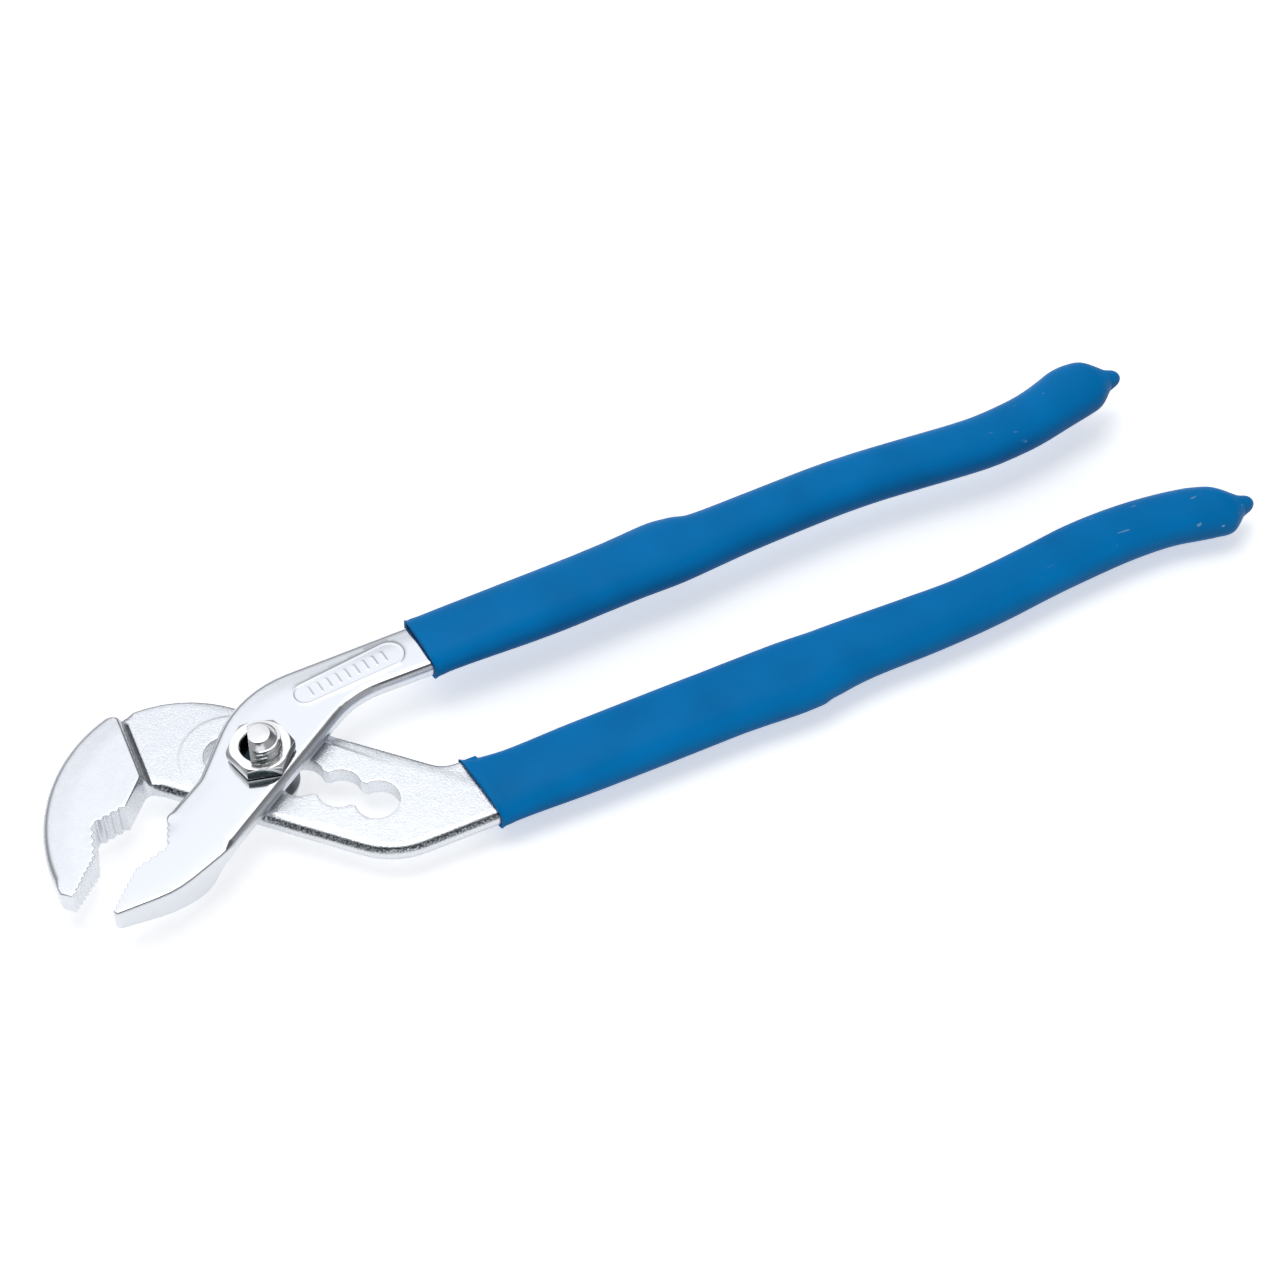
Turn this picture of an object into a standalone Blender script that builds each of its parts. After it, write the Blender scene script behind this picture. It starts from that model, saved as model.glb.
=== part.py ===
"""Slip-joint water pump pliers, 300 mm, lying flat.

+X runs along the handles, +Z is up. The origin is on the pivot bolt's axis, at the flat
underside of its head. The rear half lies below and carries the wavy slot and the outer jaw.
The front half lies on top of it and carries the inner jaw, the bolt and the nut.
"""

import math

import bmesh
import bpy
from mathutils import Matrix, Vector

MM = 0.001
FIT = 0.3 * MM                      # gap between two pieces that touch on the real tool

# Pivot bolt, nut and washer
BOLT_RADIUS = 5.0 * MM
BOLT_FLATS = 6.2 * MM               # across the two flats of the shank
HEAD_RADIUS = 7.5 * MM
HEAD_THICKNESS = 3.2 * MM
HEAD_CHAMFER = 0.8 * MM
WASHER_RADIUS = 8.2 * MM
WASHER_THICKNESS = 1.2 * MM
NUT_ACROSS_FLATS = 14.0 * MM
NUT_THICKNESS = 3.2 * MM
NUT_CHAMFER = 0.6 * MM
NUT_TURN = math.radians(46.0)       # direction of one corner of the nut
STUD_OVER_NUT = 4.6 * MM            # threaded end that stands above the nut
STUD_CHAMFER = 1.6 * MM
STUD_FLAT = 2.5 * MM                # from the axis to the flat milled on the threaded end
STUD_FLAT_DIRECTION = math.radians(163.0)

# The two forged halves
PLATE = 4.6 * MM                    # thickness of each half where they lap
BAND_HALF_WIDTH = 13.8 * MM         # half width of the slotted plate
SLOT_DIRECTION = math.radians(-45.0)
LOBE_PITCH = 9.56 * MM
LOBES_BEFORE = 1                    # lobes on the jaw side of the bolt
LOBES_AFTER = 3                     # lobes on the handle side of the bolt
THROAT_RADIUS = 2.5 * MM
STEP_MARGIN = 12.7 * MM             # from the slotted plate's edge to the inner jaw's step
STEP_LEAN = math.radians(87.0)      # outer jaw's step line, from +X
STEP_DISTANCE = 26.4 * MM

# Jaws, in slot axes: along the slot, then across it
OUTER_FACE = -24.2 * MM             # tip face of the outer jaw, along the slot
CLOSED_GAP = 0.35 * MM              # between the tip faces with the bolt in the first lobe
JAW_TIP = -50.4 * MM                # across the slot
JAW_KNEE = -38.6 * MM
JAW_HOLLOW = -30.9 * MM             # deepest point of the pipe recess
JAW_HEEL = -24.2 * MM
HOLLOW_DEPTH = 4.1 * MM
OUTER_HEEL_DEPTH = -0.6 * MM        # negative where the heel stands proud of the tip
INNER_HEEL_DEPTH = 1.1 * MM
INNER_TIP_EXTRA = 0.4 * MM          # the inner jaw reaches this much further
TOOTH_DEPTH = 0.8 * MM
TAPER_START = -36.0 * MM            # across the slot, where the jaws start to thin
TIP_THICKNESS = 6.8 * MM
TIP_TEETH = 7
KNEE_TEETH = 4
HEEL_TEETH = 4
BACK_CENTRE = (-18.0 * MM, -12.0 * MM)
BACK_RADII = (37.4 * MM, 40.4 * MM)
REAR_SHOULDER_RADIUS = 36.0 * MM    # behind the outer jaw
REAR_BELLY_RADIUS = 20.0 * MM       # lower edge, where the slotted plate turns into the handle
REAR_CROTCH_RADIUS = 15.0 * MM      # upper edge at the same place

# The front half's corners away from its teeth: X, Y and rounding radius
JAW_CORNERS = [
    (-45.6 * MM, -27.3 * MM, 1.2 * MM), (-31.0 * MM, -27.3 * MM, 26.0 * MM),
    (-16.9 * MM, -21.9 * MM, 20.0 * MM),
]
CROTCH_X = 26.3 * MM                # lower edge, where the handle starts
CROTCH_RADIUS = 22.0 * MM
SHOULDER_X = 1.6 * MM               # upper edge, where the handle starts
SHOULDER_DROP = 0.6 * MM
SHOULDER_RADIUS = 28.0 * MM
NECK_CORNERS = [(-15.4 * MM, 0.6 * MM, 9.0 * MM), (-25.9 * MM, -6.0 * MM, 3.0 * MM)]

# Handles. Each station is a share of the grip's length, an outward offset and a half width.
GRIP_COAT = 1.5 * MM                # plastic over the tang's edges
GRIP_THICKNESS = 10.4 * MM
MOUTH_THICKNESS = 8.2 * MM
SWELL = 30.0 * MM                   # over which the grip grows to its full thickness
END_FLATTENING = 0.65               # how far the end of the grip closes in height
TANG_START = 8.0 * MM               # inside the mouth, where the tang takes up the grip's shape
TANG_SETBACK = 7.0 * MM             # from the tang's end to the end of the grip
NIB_LENGTH = 3.6 * MM
NIB_RADIUS = 2.0 * MM
REAR_MOUTH = 44.0 * MM
REAR_GRIP_LENGTH = 205.3 * MM
REAR_AXIS = -28.5 * MM
REAR_TANG = (8.5 * MM, 10.2 * MM)   # outer and inner edge at the mouth, from the axis
REAR_NIB_INSET = 2.0 * MM           # of the drip, towards the other handle
REAR_STATIONS = [
    (0.00, -0.8, 10.5), (0.04, 0.0, 9.6), (0.12, 0.1, 9.8), (0.32, 0.0, 9.9), (0.395, 0.1, 10.0),
    (0.425, 0.1, 9.6), (0.46, -0.3, 9.0), (0.49, -0.4, 8.7), (0.56, -0.2, 8.4), (0.62, -0.3, 8.0),
    (0.67, -1.0, 7.9), (0.73, -2.3, 7.8), (0.785, -3.4, 8.0), (0.845, -3.8, 7.8), (0.90, -3.1, 7.6),
    (0.95, -1.1, 7.7), (0.975, 0.3, 6.8), (0.99, 1.0, 5.2), (1.00, 1.3, 2.6),
]
FRONT_MOUTH = 46.3 * MM
FRONT_GRIP_LENGTH = 192.0 * MM
FRONT_AXIS = 14.1 * MM
FRONT_TANG = (7.0 * MM, 7.8 * MM)
FRONT_NIB_INSET = 0.5 * MM
FRONT_STATIONS = [
    (0.00, -0.2, 8.9), (0.035, 0.0, 8.9), (0.17, 0.0, 9.2), (0.28, 0.7, 9.2), (0.34, 0.9, 9.4),
    (0.37, 0.7, 8.8), (0.395, 0.6, 8.2), (0.455, 1.1, 7.8), (0.57, 1.7, 7.6), (0.63, 1.4, 7.5),
    (0.685, 0.6, 7.5), (0.745, -0.4, 7.5), (0.80, -1.0, 7.5), (0.865, 0.0, 7.6), (0.90, 1.5, 7.8),
    (0.935, 3.3, 8.2), (0.965, 4.0, 7.6), (0.985, 3.9, 5.8), (1.00, 3.4, 2.6),
]

# Values that follow from the sizes above
LOBE_RADIUS = BOLT_RADIUS + FIT
NECK_HALF_WIDTH = BOLT_FLATS / 2 + FIT
JAW_THICKNESS = 2 * PLATE + FIT
STEP_RADIUS = BAND_HALF_WIDTH + STEP_MARGIN
Z_WASHER = HEAD_THICKNESS + FIT
Z_REAR = Z_WASHER + WASHER_THICKNESS + FIT
Z_FRONT = Z_REAR + PLATE + FIT
Z_TOP = Z_FRONT + PLATE
Z_NUT = Z_TOP + FIT
Z_STUD = Z_NUT + NUT_THICKNESS + STUD_OVER_NUT
INNER_FACE = OUTER_FACE + LOBES_BEFORE * LOBE_PITCH + CLOSED_GAP
CUTTER_REACH = 0.4                  # longer than the whole tool
PAST = 0.1 * MM                     # by which a cutter passes the face that it cuts


# ---------------------------------------------------------------- outlines

def slot_point(along, across):
    """Turns a place measured along and across the slot into X and Y."""
    c = math.cos(SLOT_DIRECTION)
    s = math.sin(SLOT_DIRECTION)
    return (along * c - across * s, along * s + across * c)


def arc(centre, radii, start, end, steps):
    """Points on an ellipse from the start angle to the end angle."""
    points = []
    for i in range(steps + 1):
        angle = start + (end - start) * i / steps
        points.append((centre[0] + radii[0] * math.cos(angle), centre[1] + radii[1] * math.sin(angle)))
    return points


def rounded(corners, step=math.radians(9.0)):
    """Replaces each corner (x, y, radius) by an arc, which its two edges limit."""
    points = []
    for i, (x, y, radius) in enumerate(corners):
        corner = Vector((x, y))
        before = Vector(corners[i - 1][:2]) - corner
        after = Vector(corners[(i + 1) % len(corners)][:2]) - corner
        turn = math.pi - before.angle(after)
        if radius == 0 or turn < 0.01:
            points.append((x, y))
            continue
        reach = min(radius * math.tan(turn / 2), 0.48 * before.length, 0.48 * after.length)
        radius = reach / math.tan(turn / 2)
        start = corner + before.normalized() * reach
        middle = corner + (before.normalized() + after.normalized()).normalized() * math.hypot(radius, reach)
        count = max(2, round(turn / step))
        side = 1 if before.cross(after) < 0 else -1
        arm = start - middle
        for k in range(count + 1):
            points.append(tuple(middle + Matrix.Rotation(side * turn * k / count, 2) @ arm))
    return points


def toothed(start, end, count, depth):
    """Saw teeth from start to end. The roots lie to the left of that direction."""
    first = Vector(start)
    run = Vector(end) - first
    inward = Vector((-run.y, run.x)).normalized() * depth
    points = []
    for i in range(count):
        points.append(tuple(first + run * (i / count)))
        points.append(tuple(first + run * ((i + 0.5) / count) + inward))
    points.append(tuple(end))
    return points


def smooth_stations(stations, length, steps):
    """Even stations (distance, offset, half width) on a smooth curve through the given ones."""
    rows = []
    for i in range(steps + 1):
        share = i / steps
        k = max(j for j in range(len(stations) - 1) if stations[j][0] <= share)
        a = stations[max(k - 1, 0)]
        b = stations[k]
        c = stations[k + 1]
        d = stations[min(k + 2, len(stations) - 1)]
        t = (share - b[0]) / (c[0] - b[0])
        row = [share * length]
        for axis in (1, 2):
            rise_b = (c[axis] - a[axis]) / (c[0] - a[0]) * (c[0] - b[0])
            rise_c = (d[axis] - b[axis]) / (d[0] - b[0]) * (c[0] - b[0])
            value = (
                b[axis] * (2 * t ** 3 - 3 * t ** 2 + 1)
                + rise_b * (t ** 3 - 2 * t ** 2 + t)
                + c[axis] * (3 * t ** 2 - 2 * t ** 3)
                + rise_c * (t ** 3 - t ** 2)
            )
            row.append(value * MM)
        rows.append(tuple(row))
    return rows


class Handle:
    """The centre line and widths that a grip and the tang inside it share."""

    def __init__(self, mouth, length, axis, stations, tang, nib_inset, outward, z_middle):
        self.mouth = mouth
        self.length = length
        self.axis = axis
        self.mouth_edges = sorted((axis + outward * tang[0], axis - outward * tang[1]))
        self.outward = outward
        self.nib_inset = nib_inset
        self.z_middle = z_middle
        self.rows = smooth_stations(stations, length, 44)

    def place(self, distance):
        """Centre Y and half width at a distance from the mouth."""
        share = max(0.0, min(distance / self.length, 1.0)) * (len(self.rows) - 1)
        k = min(int(share), len(self.rows) - 2)
        t = share - k
        offset = self.rows[k][1] * (1 - t) + self.rows[k + 1][1] * t
        width = self.rows[k][2] * (1 - t) + self.rows[k + 1][2] * t
        return self.axis + self.outward * offset, width

    def tang_edges(self, inset, start, setback):
        """The tang's edges inside the grip: its lower edge outwards, then its upper edge back."""
        end = self.length - setback
        distances = [start + (end - start) * i / 16 for i in range(17)]
        lower = []
        upper = []
        for distance in distances:
            y, width = self.place(distance)
            lower.append((self.mouth + distance, y - width + inset))
            upper.append((self.mouth + distance, y + width - inset))
        y, width = self.place(end)
        nose = []
        for i in range(1, 6):
            angle = -math.pi / 2 + math.pi * i / 6
            reach = width - inset
            nose.append((self.mouth + end + reach / 2 * math.cos(angle), y + reach * math.sin(angle)))
        return lower + nose + upper[::-1]


REAR_HANDLE = Handle(
    REAR_MOUTH, REAR_GRIP_LENGTH, REAR_AXIS, REAR_STATIONS, REAR_TANG, REAR_NIB_INSET,
    -1, Z_REAR + PLATE / 2,
)
FRONT_HANDLE = Handle(
    FRONT_MOUTH, FRONT_GRIP_LENGTH, FRONT_AXIS, FRONT_STATIONS, FRONT_TANG, FRONT_NIB_INSET,
    1, Z_FRONT + PLATE / 2,
)


# ---------------------------------------------------------------- meshes

def link(obj, collection):
    collection.objects.link(obj)
    return obj


def prism(name, loops, low, high, collection):
    """A flat outline, with any holes, extruded from the low to the high level."""
    curve = bpy.data.curves.new(name, "CURVE")
    curve.dimensions = "2D"
    curve.fill_mode = "BOTH"
    curve.extrude = (high - low) / 2
    for loop in loops:
        spline = curve.splines.new("POLY")
        spline.points.add(len(loop) - 1)
        for point, (x, y) in zip(spline.points, loop):
            point.co = (x, y, 0, 1)
        spline.use_cyclic_u = True
    shape = link(bpy.data.objects.new(name + "_outline", curve), collection)
    bpy.context.view_layer.update()
    mesh = bpy.data.meshes.new_from_object(shape.evaluated_get(bpy.context.evaluated_depsgraph_get()))
    bpy.data.objects.remove(shape)
    mesh.name = name
    work = bmesh.new()
    work.from_mesh(mesh)
    bmesh.ops.remove_doubles(work, verts=work.verts, dist=0.00001)
    bmesh.ops.translate(work, verts=work.verts, vec=(0, 0, (low + high) / 2))
    bmesh.ops.recalc_face_normals(work, faces=work.faces)
    work.to_mesh(mesh)
    work.free()
    return link(bpy.data.objects.new(name, mesh), collection)


def turned(name, profile, collection, steps=48):
    """A profile of (radius, height), listed from the top down, spun round Z."""
    mesh = bpy.data.meshes.new(name)
    mesh.from_pydata([(r, 0, z) for r, z in profile], [(i, i + 1) for i in range(len(profile) - 1)], [])
    obj = link(bpy.data.objects.new(name, mesh), collection)
    screw = obj.modifiers.new("turned", "SCREW")
    screw.steps = steps
    screw.render_steps = steps
    screw.use_merge_vertices = True
    screw.merge_threshold = 0.00001
    return obj


def box(name, low, high, collection):
    """A block between two corners."""
    mesh = bpy.data.meshes.new(name)
    work = bmesh.new()
    bmesh.ops.create_cube(work, size=1.0)
    size = [h - l for l, h in zip(low, high)]
    bmesh.ops.scale(work, verts=work.verts, vec=size)
    bmesh.ops.translate(work, verts=work.verts, vec=[(l + h) / 2 for l, h in zip(low, high)])
    work.to_mesh(mesh)
    work.free()
    return link(bpy.data.objects.new(name, mesh), collection)


def boolean(obj, operation, other):
    """Joins or cuts one object with another."""
    modifier = obj.modifiers.new(operation.lower() + "_" + other.name, "BOOLEAN")
    modifier.operation = operation
    modifier.object = other
    modifier.solver = "EXACT"


def as_cutter(obj):
    obj.hide_render = True
    obj.display_type = "WIRE"
    return obj


def finish(obj, colour, metallic, roughness, joint=None):
    """Gives a piece its material and smooth shading, and hangs it on its joint's empty."""
    material = bpy.data.materials.new(obj.name)
    material.use_nodes = True
    shader = material.node_tree.nodes["Principled BSDF"]
    shader.inputs["Base Color"].default_value = (*colour, 1)
    shader.inputs["Metallic"].default_value = metallic
    shader.inputs["Roughness"].default_value = roughness
    obj.data.materials.append(material)
    obj.data.shade_smooth()
    obj.data.set_sharp_from_angle(angle=math.radians(35))
    obj.parent = joint
    return obj


# ---------------------------------------------------------------- outer jaw and slotted plate

def slot_outline():
    """Round lobes one pitch apart. Necks that pass the bolt's flats join them, unless they meet first."""
    meeting = math.acos(min(1.0, LOBE_PITCH / 2 / LOBE_RADIUS))
    opening = max(math.asin(NECK_HALF_WIDTH / LOBE_RADIUS), meeting)
    first = -LOBES_BEFORE
    last = LOBES_AFTER
    upper = []
    lower = []
    for lobe in range(first, last + 1):
        start = opening if lobe < last else 0.0
        end = math.pi - opening if lobe > first else math.pi
        centre = lobe * LOBE_PITCH
        for i in range(13):
            angle = end + (start - end) * i / 12
            along = centre + LOBE_RADIUS * math.cos(angle)
            across = LOBE_RADIUS * math.sin(angle)
            upper.append(slot_point(along, across))
            lower.append(slot_point(along, -across))
    return upper[:-1] + lower[::-1][:-1]


def rear_outline():
    """Counter-clockwise from the outer jaw's tip: teeth, throat, plate, tang, jaw back."""
    tip = slot_point(OUTER_FACE, JAW_TIP)
    knee = slot_point(OUTER_FACE, JAW_KNEE)
    hollow = slot_point(OUTER_FACE - HOLLOW_DEPTH, JAW_HOLLOW)
    heel = slot_point(OUTER_FACE - OUTER_HEEL_DEPTH, JAW_HEEL)
    throat = slot_point(OUTER_FACE - OUTER_HEEL_DEPTH, -BAND_HALF_WIDTH)
    teeth = toothed(tip, knee, TIP_TEETH, TOOTH_DEPTH)[:-1]
    teeth += toothed(knee, hollow, KNEE_TEETH, TOOTH_DEPTH)[:-1]
    teeth += toothed(hollow, heel, HEEL_TEETH, TOOTH_DEPTH)
    edge = BAND_HALF_WIDTH * math.sqrt(2)
    tang = REAR_HANDLE.tang_edges(GRIP_COAT + FIT, TANG_START, TANG_SETBACK)
    low_y, high_y = REAR_HANDLE.mouth_edges
    top_y = BACK_CENTRE[1] + BACK_RADII[1]
    below = rounded([
        (*heel, 0), (*throat, THROAT_RADIUS), (-edge - low_y, low_y, REAR_BELLY_RADIUS),
        (REAR_MOUTH, low_y, 0), (*tang[0], 0), (*tang[1], 0),
    ])[1:-2]
    above = rounded([
        (*tang[-2], 0), (*tang[-1], 0), (REAR_MOUTH, high_y, 0),
        (edge - high_y, high_y, REAR_CROTCH_RADIUS), (edge - top_y, top_y, REAR_SHOULDER_RADIUS),
        (2 * BACK_CENTRE[0], top_y, 0),
    ])[2:-1]
    back = arc(BACK_CENTRE, BACK_RADII, math.radians(98), math.radians(188), 18)
    return teeth + below + tang + above + back


def taper_jaws(half, cutters):
    """Thins the jaws evenly from both faces towards their tips."""
    fall = (JAW_THICKNESS - TIP_THICKNESS) / 2
    lean = math.atan2(fall, TAPER_START - JAW_TIP)
    start = slot_point(0, TAPER_START)
    for face, level in ((1, Z_TOP), (-1, Z_TOP - JAW_THICKNESS)):
        low, high = sorted((0, face * PLATE))
        name = half.name + ("_upper_taper" if face > 0 else "_lower_taper")
        wedge = box(name, (-CUTTER_REACH, -CUTTER_REACH, low), (CUTTER_REACH, 0, high), cutters)
        wedge.matrix_world = (
            Matrix.Translation((*start, level))
            @ Matrix.Rotation(SLOT_DIRECTION, 4, "Z")
            @ Matrix.Rotation(face * lean, 4, "X")
        )
        boolean(half, "DIFFERENCE", as_cutter(wedge))


def make_rear_half(parts, cutters):
    rear = prism("rear_half", [rear_outline(), slot_outline()], Z_REAR, Z_REAR + JAW_THICKNESS, parts)
    direction = Vector((math.cos(STEP_LEAN), math.sin(STEP_LEAN)))
    foot = Vector((-STEP_DISTANCE, 0))
    low = foot - direction * CUTTER_REACH / 4
    high = foot + direction * CUTTER_REACH / 4
    step = [tuple(low), (CUTTER_REACH, low.y), (CUTTER_REACH, high.y), tuple(high)]
    lap = prism("rear_lap_cut", [step], Z_REAR + PLATE, Z_REAR + JAW_THICKNESS + PLATE, cutters)
    boolean(rear, "DIFFERENCE", as_cutter(lap))
    taper_jaws(rear, cutters)
    return finish(rear, (0.62, 0.63, 0.65), 1.0, 0.42)


# ---------------------------------------------------------------- inner jaw half

def front_outline():
    """Counter-clockwise from the inner jaw's heel: teeth, tip, lower edge, tang, upper edge."""
    tip = slot_point(INNER_FACE, JAW_TIP - INNER_TIP_EXTRA)
    knee = slot_point(INNER_FACE, JAW_KNEE)
    hollow = slot_point(INNER_FACE + HOLLOW_DEPTH, JAW_HOLLOW)
    heel = slot_point(INNER_FACE + INNER_HEEL_DEPTH, JAW_HEEL)
    teeth = toothed(heel, hollow, HEEL_TEETH, TOOTH_DEPTH)[:-1]
    teeth += toothed(hollow, knee, KNEE_TEETH, TOOTH_DEPTH)[:-1]
    teeth += toothed(knee, tip, TIP_TEETH, TOOTH_DEPTH)
    tang = FRONT_HANDLE.tang_edges(GRIP_COAT + FIT, TANG_START, TANG_SETBACK)
    low_y, high_y = FRONT_HANDLE.mouth_edges
    below = rounded([
        (*tip, 0), *JAW_CORNERS, (CROTCH_X, low_y, CROTCH_RADIUS),
        (FRONT_MOUTH, low_y, 0), (*tang[0], 0), (*tang[1], 0),
    ])[1:-2]
    above = rounded([
        (*tang[-2], 0), (*tang[-1], 0), (FRONT_MOUTH, high_y, 0),
        (SHOULDER_X, high_y - SHOULDER_DROP, SHOULDER_RADIUS), *NECK_CORNERS, (*heel, 0),
    ])[2:-1]
    return teeth + below + tang + above


def shank_outline(clearance):
    """The bolt's shank: a circle with two flats along the slot."""
    radius = BOLT_RADIUS + clearance
    half = BOLT_FLATS / 2 + clearance
    opening = math.asin(half / radius)
    points = []
    for start in (-opening, math.pi - opening):
        for i in range(13):
            angle = start + 2 * opening * i / 12
            points.append(slot_point(radius * math.cos(angle), radius * math.sin(angle)))
    return points


def make_front_half(parts, cutters, joint):
    loops = [front_outline(), shank_outline(FIT)]
    front = prism("front_half", loops, Z_TOP - JAW_THICKNESS, Z_TOP, parts)
    round_side = arc((0, 0), (STEP_RADIUS, STEP_RADIUS), math.radians(90), math.radians(270), 40)
    step = round_side + [(CUTTER_REACH, -STEP_RADIUS), (CUTTER_REACH, STEP_RADIUS)]
    lap = prism("front_lap_cut", [step], Z_TOP - JAW_THICKNESS - PLATE, Z_FRONT, cutters)
    boolean(front, "DIFFERENCE", as_cutter(lap))
    taper_jaws(front, cutters)
    return finish(front, (0.80, 0.81, 0.83), 1.0, 0.16, joint)


# ---------------------------------------------------------------- pivot hardware

def make_bolt(parts, cutters, joint):
    """Round head, shank with two flats, and a threaded end with one flat."""
    head = [
        (0, HEAD_THICKNESS), (HEAD_RADIUS, HEAD_THICKNESS), (HEAD_RADIUS, HEAD_CHAMFER),
        (HEAD_RADIUS - HEAD_CHAMFER, 0), (0, 0),
    ]
    bolt = turned("pivot_bolt", head, parts)
    shank = prism("bolt_shank", [shank_outline(0)], HEAD_THICKNESS / 2, Z_NUT, cutters)
    boolean(bolt, "UNION", as_cutter(shank))
    thread = [
        (0, Z_STUD), (BOLT_RADIUS - STUD_CHAMFER, Z_STUD), (BOLT_RADIUS, Z_STUD - STUD_CHAMFER),
        (BOLT_RADIUS, Z_TOP + FIT / 3), (0, Z_TOP + FIT / 3),
    ]
    stud = as_cutter(turned("bolt_thread", thread, cutters))
    low = (STUD_FLAT, -HEAD_RADIUS, Z_NUT)
    flat = box("bolt_flat_cut", low, (HEAD_RADIUS, HEAD_RADIUS, Z_STUD + PAST), cutters)
    flat.rotation_euler.z = STUD_FLAT_DIRECTION
    boolean(stud, "DIFFERENCE", as_cutter(flat))
    boolean(bolt, "UNION", stud)
    return finish(bolt, (0.66, 0.67, 0.68), 1.0, 0.3, joint)


def make_nut(parts, cutters, joint):
    """Hexagon nut, chamfered above, with a clear bore round the thread."""
    corner = NUT_ACROSS_FLATS / 2 / math.cos(math.radians(30))
    hexagon = []
    for i in range(6):
        angle = NUT_TURN + math.radians(60) * i
        hexagon.append((corner * math.cos(angle), corner * math.sin(angle)))
    bore = arc((0, 0), (BOLT_RADIUS + FIT,) * 2, 0, 2 * math.pi, 36)[:-1]
    top = Z_NUT + NUT_THICKNESS
    nut = prism("pivot_nut", [hexagon, bore], Z_NUT, top, parts)
    reach = corner + NUT_CHAMFER
    cone = [
        (0, top + PAST), (NUT_ACROSS_FLATS / 2 + PAST, top + PAST),
        (reach, top - NUT_CHAMFER), (reach, Z_NUT - PAST), (0, Z_NUT - PAST),
    ]
    boolean(nut, "INTERSECT", as_cutter(turned("nut_chamfer", cone, cutters)))
    return finish(nut, (0.70, 0.71, 0.72), 1.0, 0.2, joint)


def make_washer(parts, joint):
    """Plain washer under the bolt's head, which bridges the slot."""
    rim = arc((0, 0), (WASHER_RADIUS,) * 2, 0, 2 * math.pi, 48)[:-1]
    bore = arc((0, 0), (BOLT_RADIUS + FIT,) * 2, 0, 2 * math.pi, 36)[:-1]
    washer = prism("back_washer", [rim, bore], Z_WASHER, Z_WASHER + WASHER_THICKNESS, parts)
    return finish(washer, (0.60, 0.61, 0.62), 1.0, 0.34, joint)


# ---------------------------------------------------------------- grips

def section(x, y, half_width, half_height, z_middle, count=24, power=2.6):
    """One ring of a grip: a softly squared ellipse across the handle."""
    ring = []
    for i in range(count):
        angle = 2 * math.pi * (i + 0.5) / count
        c = math.cos(angle)
        s = math.sin(angle)
        across = half_width * math.copysign(abs(c) ** (2 / power), c)
        up = half_height * math.copysign(abs(s) ** (2 / power), s)
        ring.append((x, y + across, z_middle + up))
    return ring


def loft(name, rings, collection):
    """Skins a row of rings and caps both ends."""
    mesh = bpy.data.meshes.new(name)
    work = bmesh.new()
    rows = [[work.verts.new(point) for point in ring] for ring in rings]
    for first, second in zip(rows, rows[1:]):
        for i in range(len(first)):
            j = (i + 1) % len(first)
            work.faces.new((first[i], first[j], second[j], second[i]))
    work.faces.new(rows[0][::-1])
    work.faces.new(rows[-1])
    bmesh.ops.recalc_face_normals(work, faces=work.faces)
    work.to_mesh(mesh)
    work.free()
    return link(bpy.data.objects.new(name, mesh), collection)


def make_grip(name, handle, parts, cutters, joint):
    """A dipped sleeve, open at the mouth, closed at the end with a small drip."""
    rings = []
    for distance, _, _ in handle.rows:
        y, width = handle.place(distance)
        growth = min(distance / SWELL, 1.0)
        growth = growth * growth * (3 - 2 * growth)
        height = MOUTH_THICKNESS + (GRIP_THICKNESS - MOUTH_THICKNESS) * growth
        past = max(0.0, distance - handle.length + width) / width
        height = max(height * math.sqrt(1 - END_FLATTENING * past * past), 2 * NIB_RADIUS)
        rings.append(section(handle.mouth + distance, y, width, height / 2, handle.z_middle))
    end_y = handle.place(handle.length)[0] - handle.outward * handle.nib_inset
    for share in (0.25, 0.6, 0.9, 1.0):
        radius = NIB_RADIUS * math.sqrt(1.04 - share * share)
        x = handle.mouth + handle.length + NIB_LENGTH * share
        rings.append(section(x, end_y, radius, radius, handle.z_middle, power=2.0))
    grip = loft(name, rings, parts)
    edges = handle.tang_edges(GRIP_COAT, TANG_START, TANG_SETBACK - FIT)
    low_y, high_y = handle.mouth_edges
    outside = handle.mouth - 2 * MM
    root = [(outside, high_y + FIT), (outside, low_y - FIT), (handle.mouth, low_y - FIT)]
    near = edges + [(handle.mouth, high_y + FIT)]
    low = handle.z_middle - PLATE / 2 - FIT
    high = handle.z_middle + PLATE / 2 + FIT
    hollow = prism(name + "_hollow", [root + near], low, high, cutters)
    boolean(grip, "DIFFERENCE", as_cutter(hollow))
    return finish(grip, (0.0, 0.13, 0.38), 0.0, 0.5, joint)


# ---------------------------------------------------------------- the tool

def main():
    for obj in list(bpy.data.objects):
        bpy.data.objects.remove(obj)
    parts = bpy.data.collections.new("water_pump_pliers")
    cutters = bpy.data.collections.new("cutters")
    for collection in (parts, cutters):
        bpy.context.scene.collection.children.link(collection)
    pivot = link(bpy.data.objects.new("pivot_axis", None), parts)
    make_rear_half(parts, cutters)
    make_front_half(parts, cutters, pivot)
    make_bolt(parts, cutters, pivot)
    make_nut(parts, cutters, pivot)
    make_washer(parts, pivot)
    make_grip("rear_grip", REAR_HANDLE, parts, cutters, None)
    make_grip("front_grip", FRONT_HANDLE, parts, cutters, pivot)


main()
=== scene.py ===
"""Looks of a pair of slip-joint water pump pliers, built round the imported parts.

Shapes are worked out in millimetres in the parts' own frame and scaled to metres when a mesh is made.
+X runs along the handles, +Z is up, and the pivot bolt's axis is the Z axis.
"""

import logging
import math
from collections.abc import Callable
from dataclasses import dataclass, field
from enum import Enum
from functools import partial

import bpy
import numpy as np
from mathutils import Matrix, Vector
from mathutils.geometry import delaunay_2d_cdt


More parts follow.
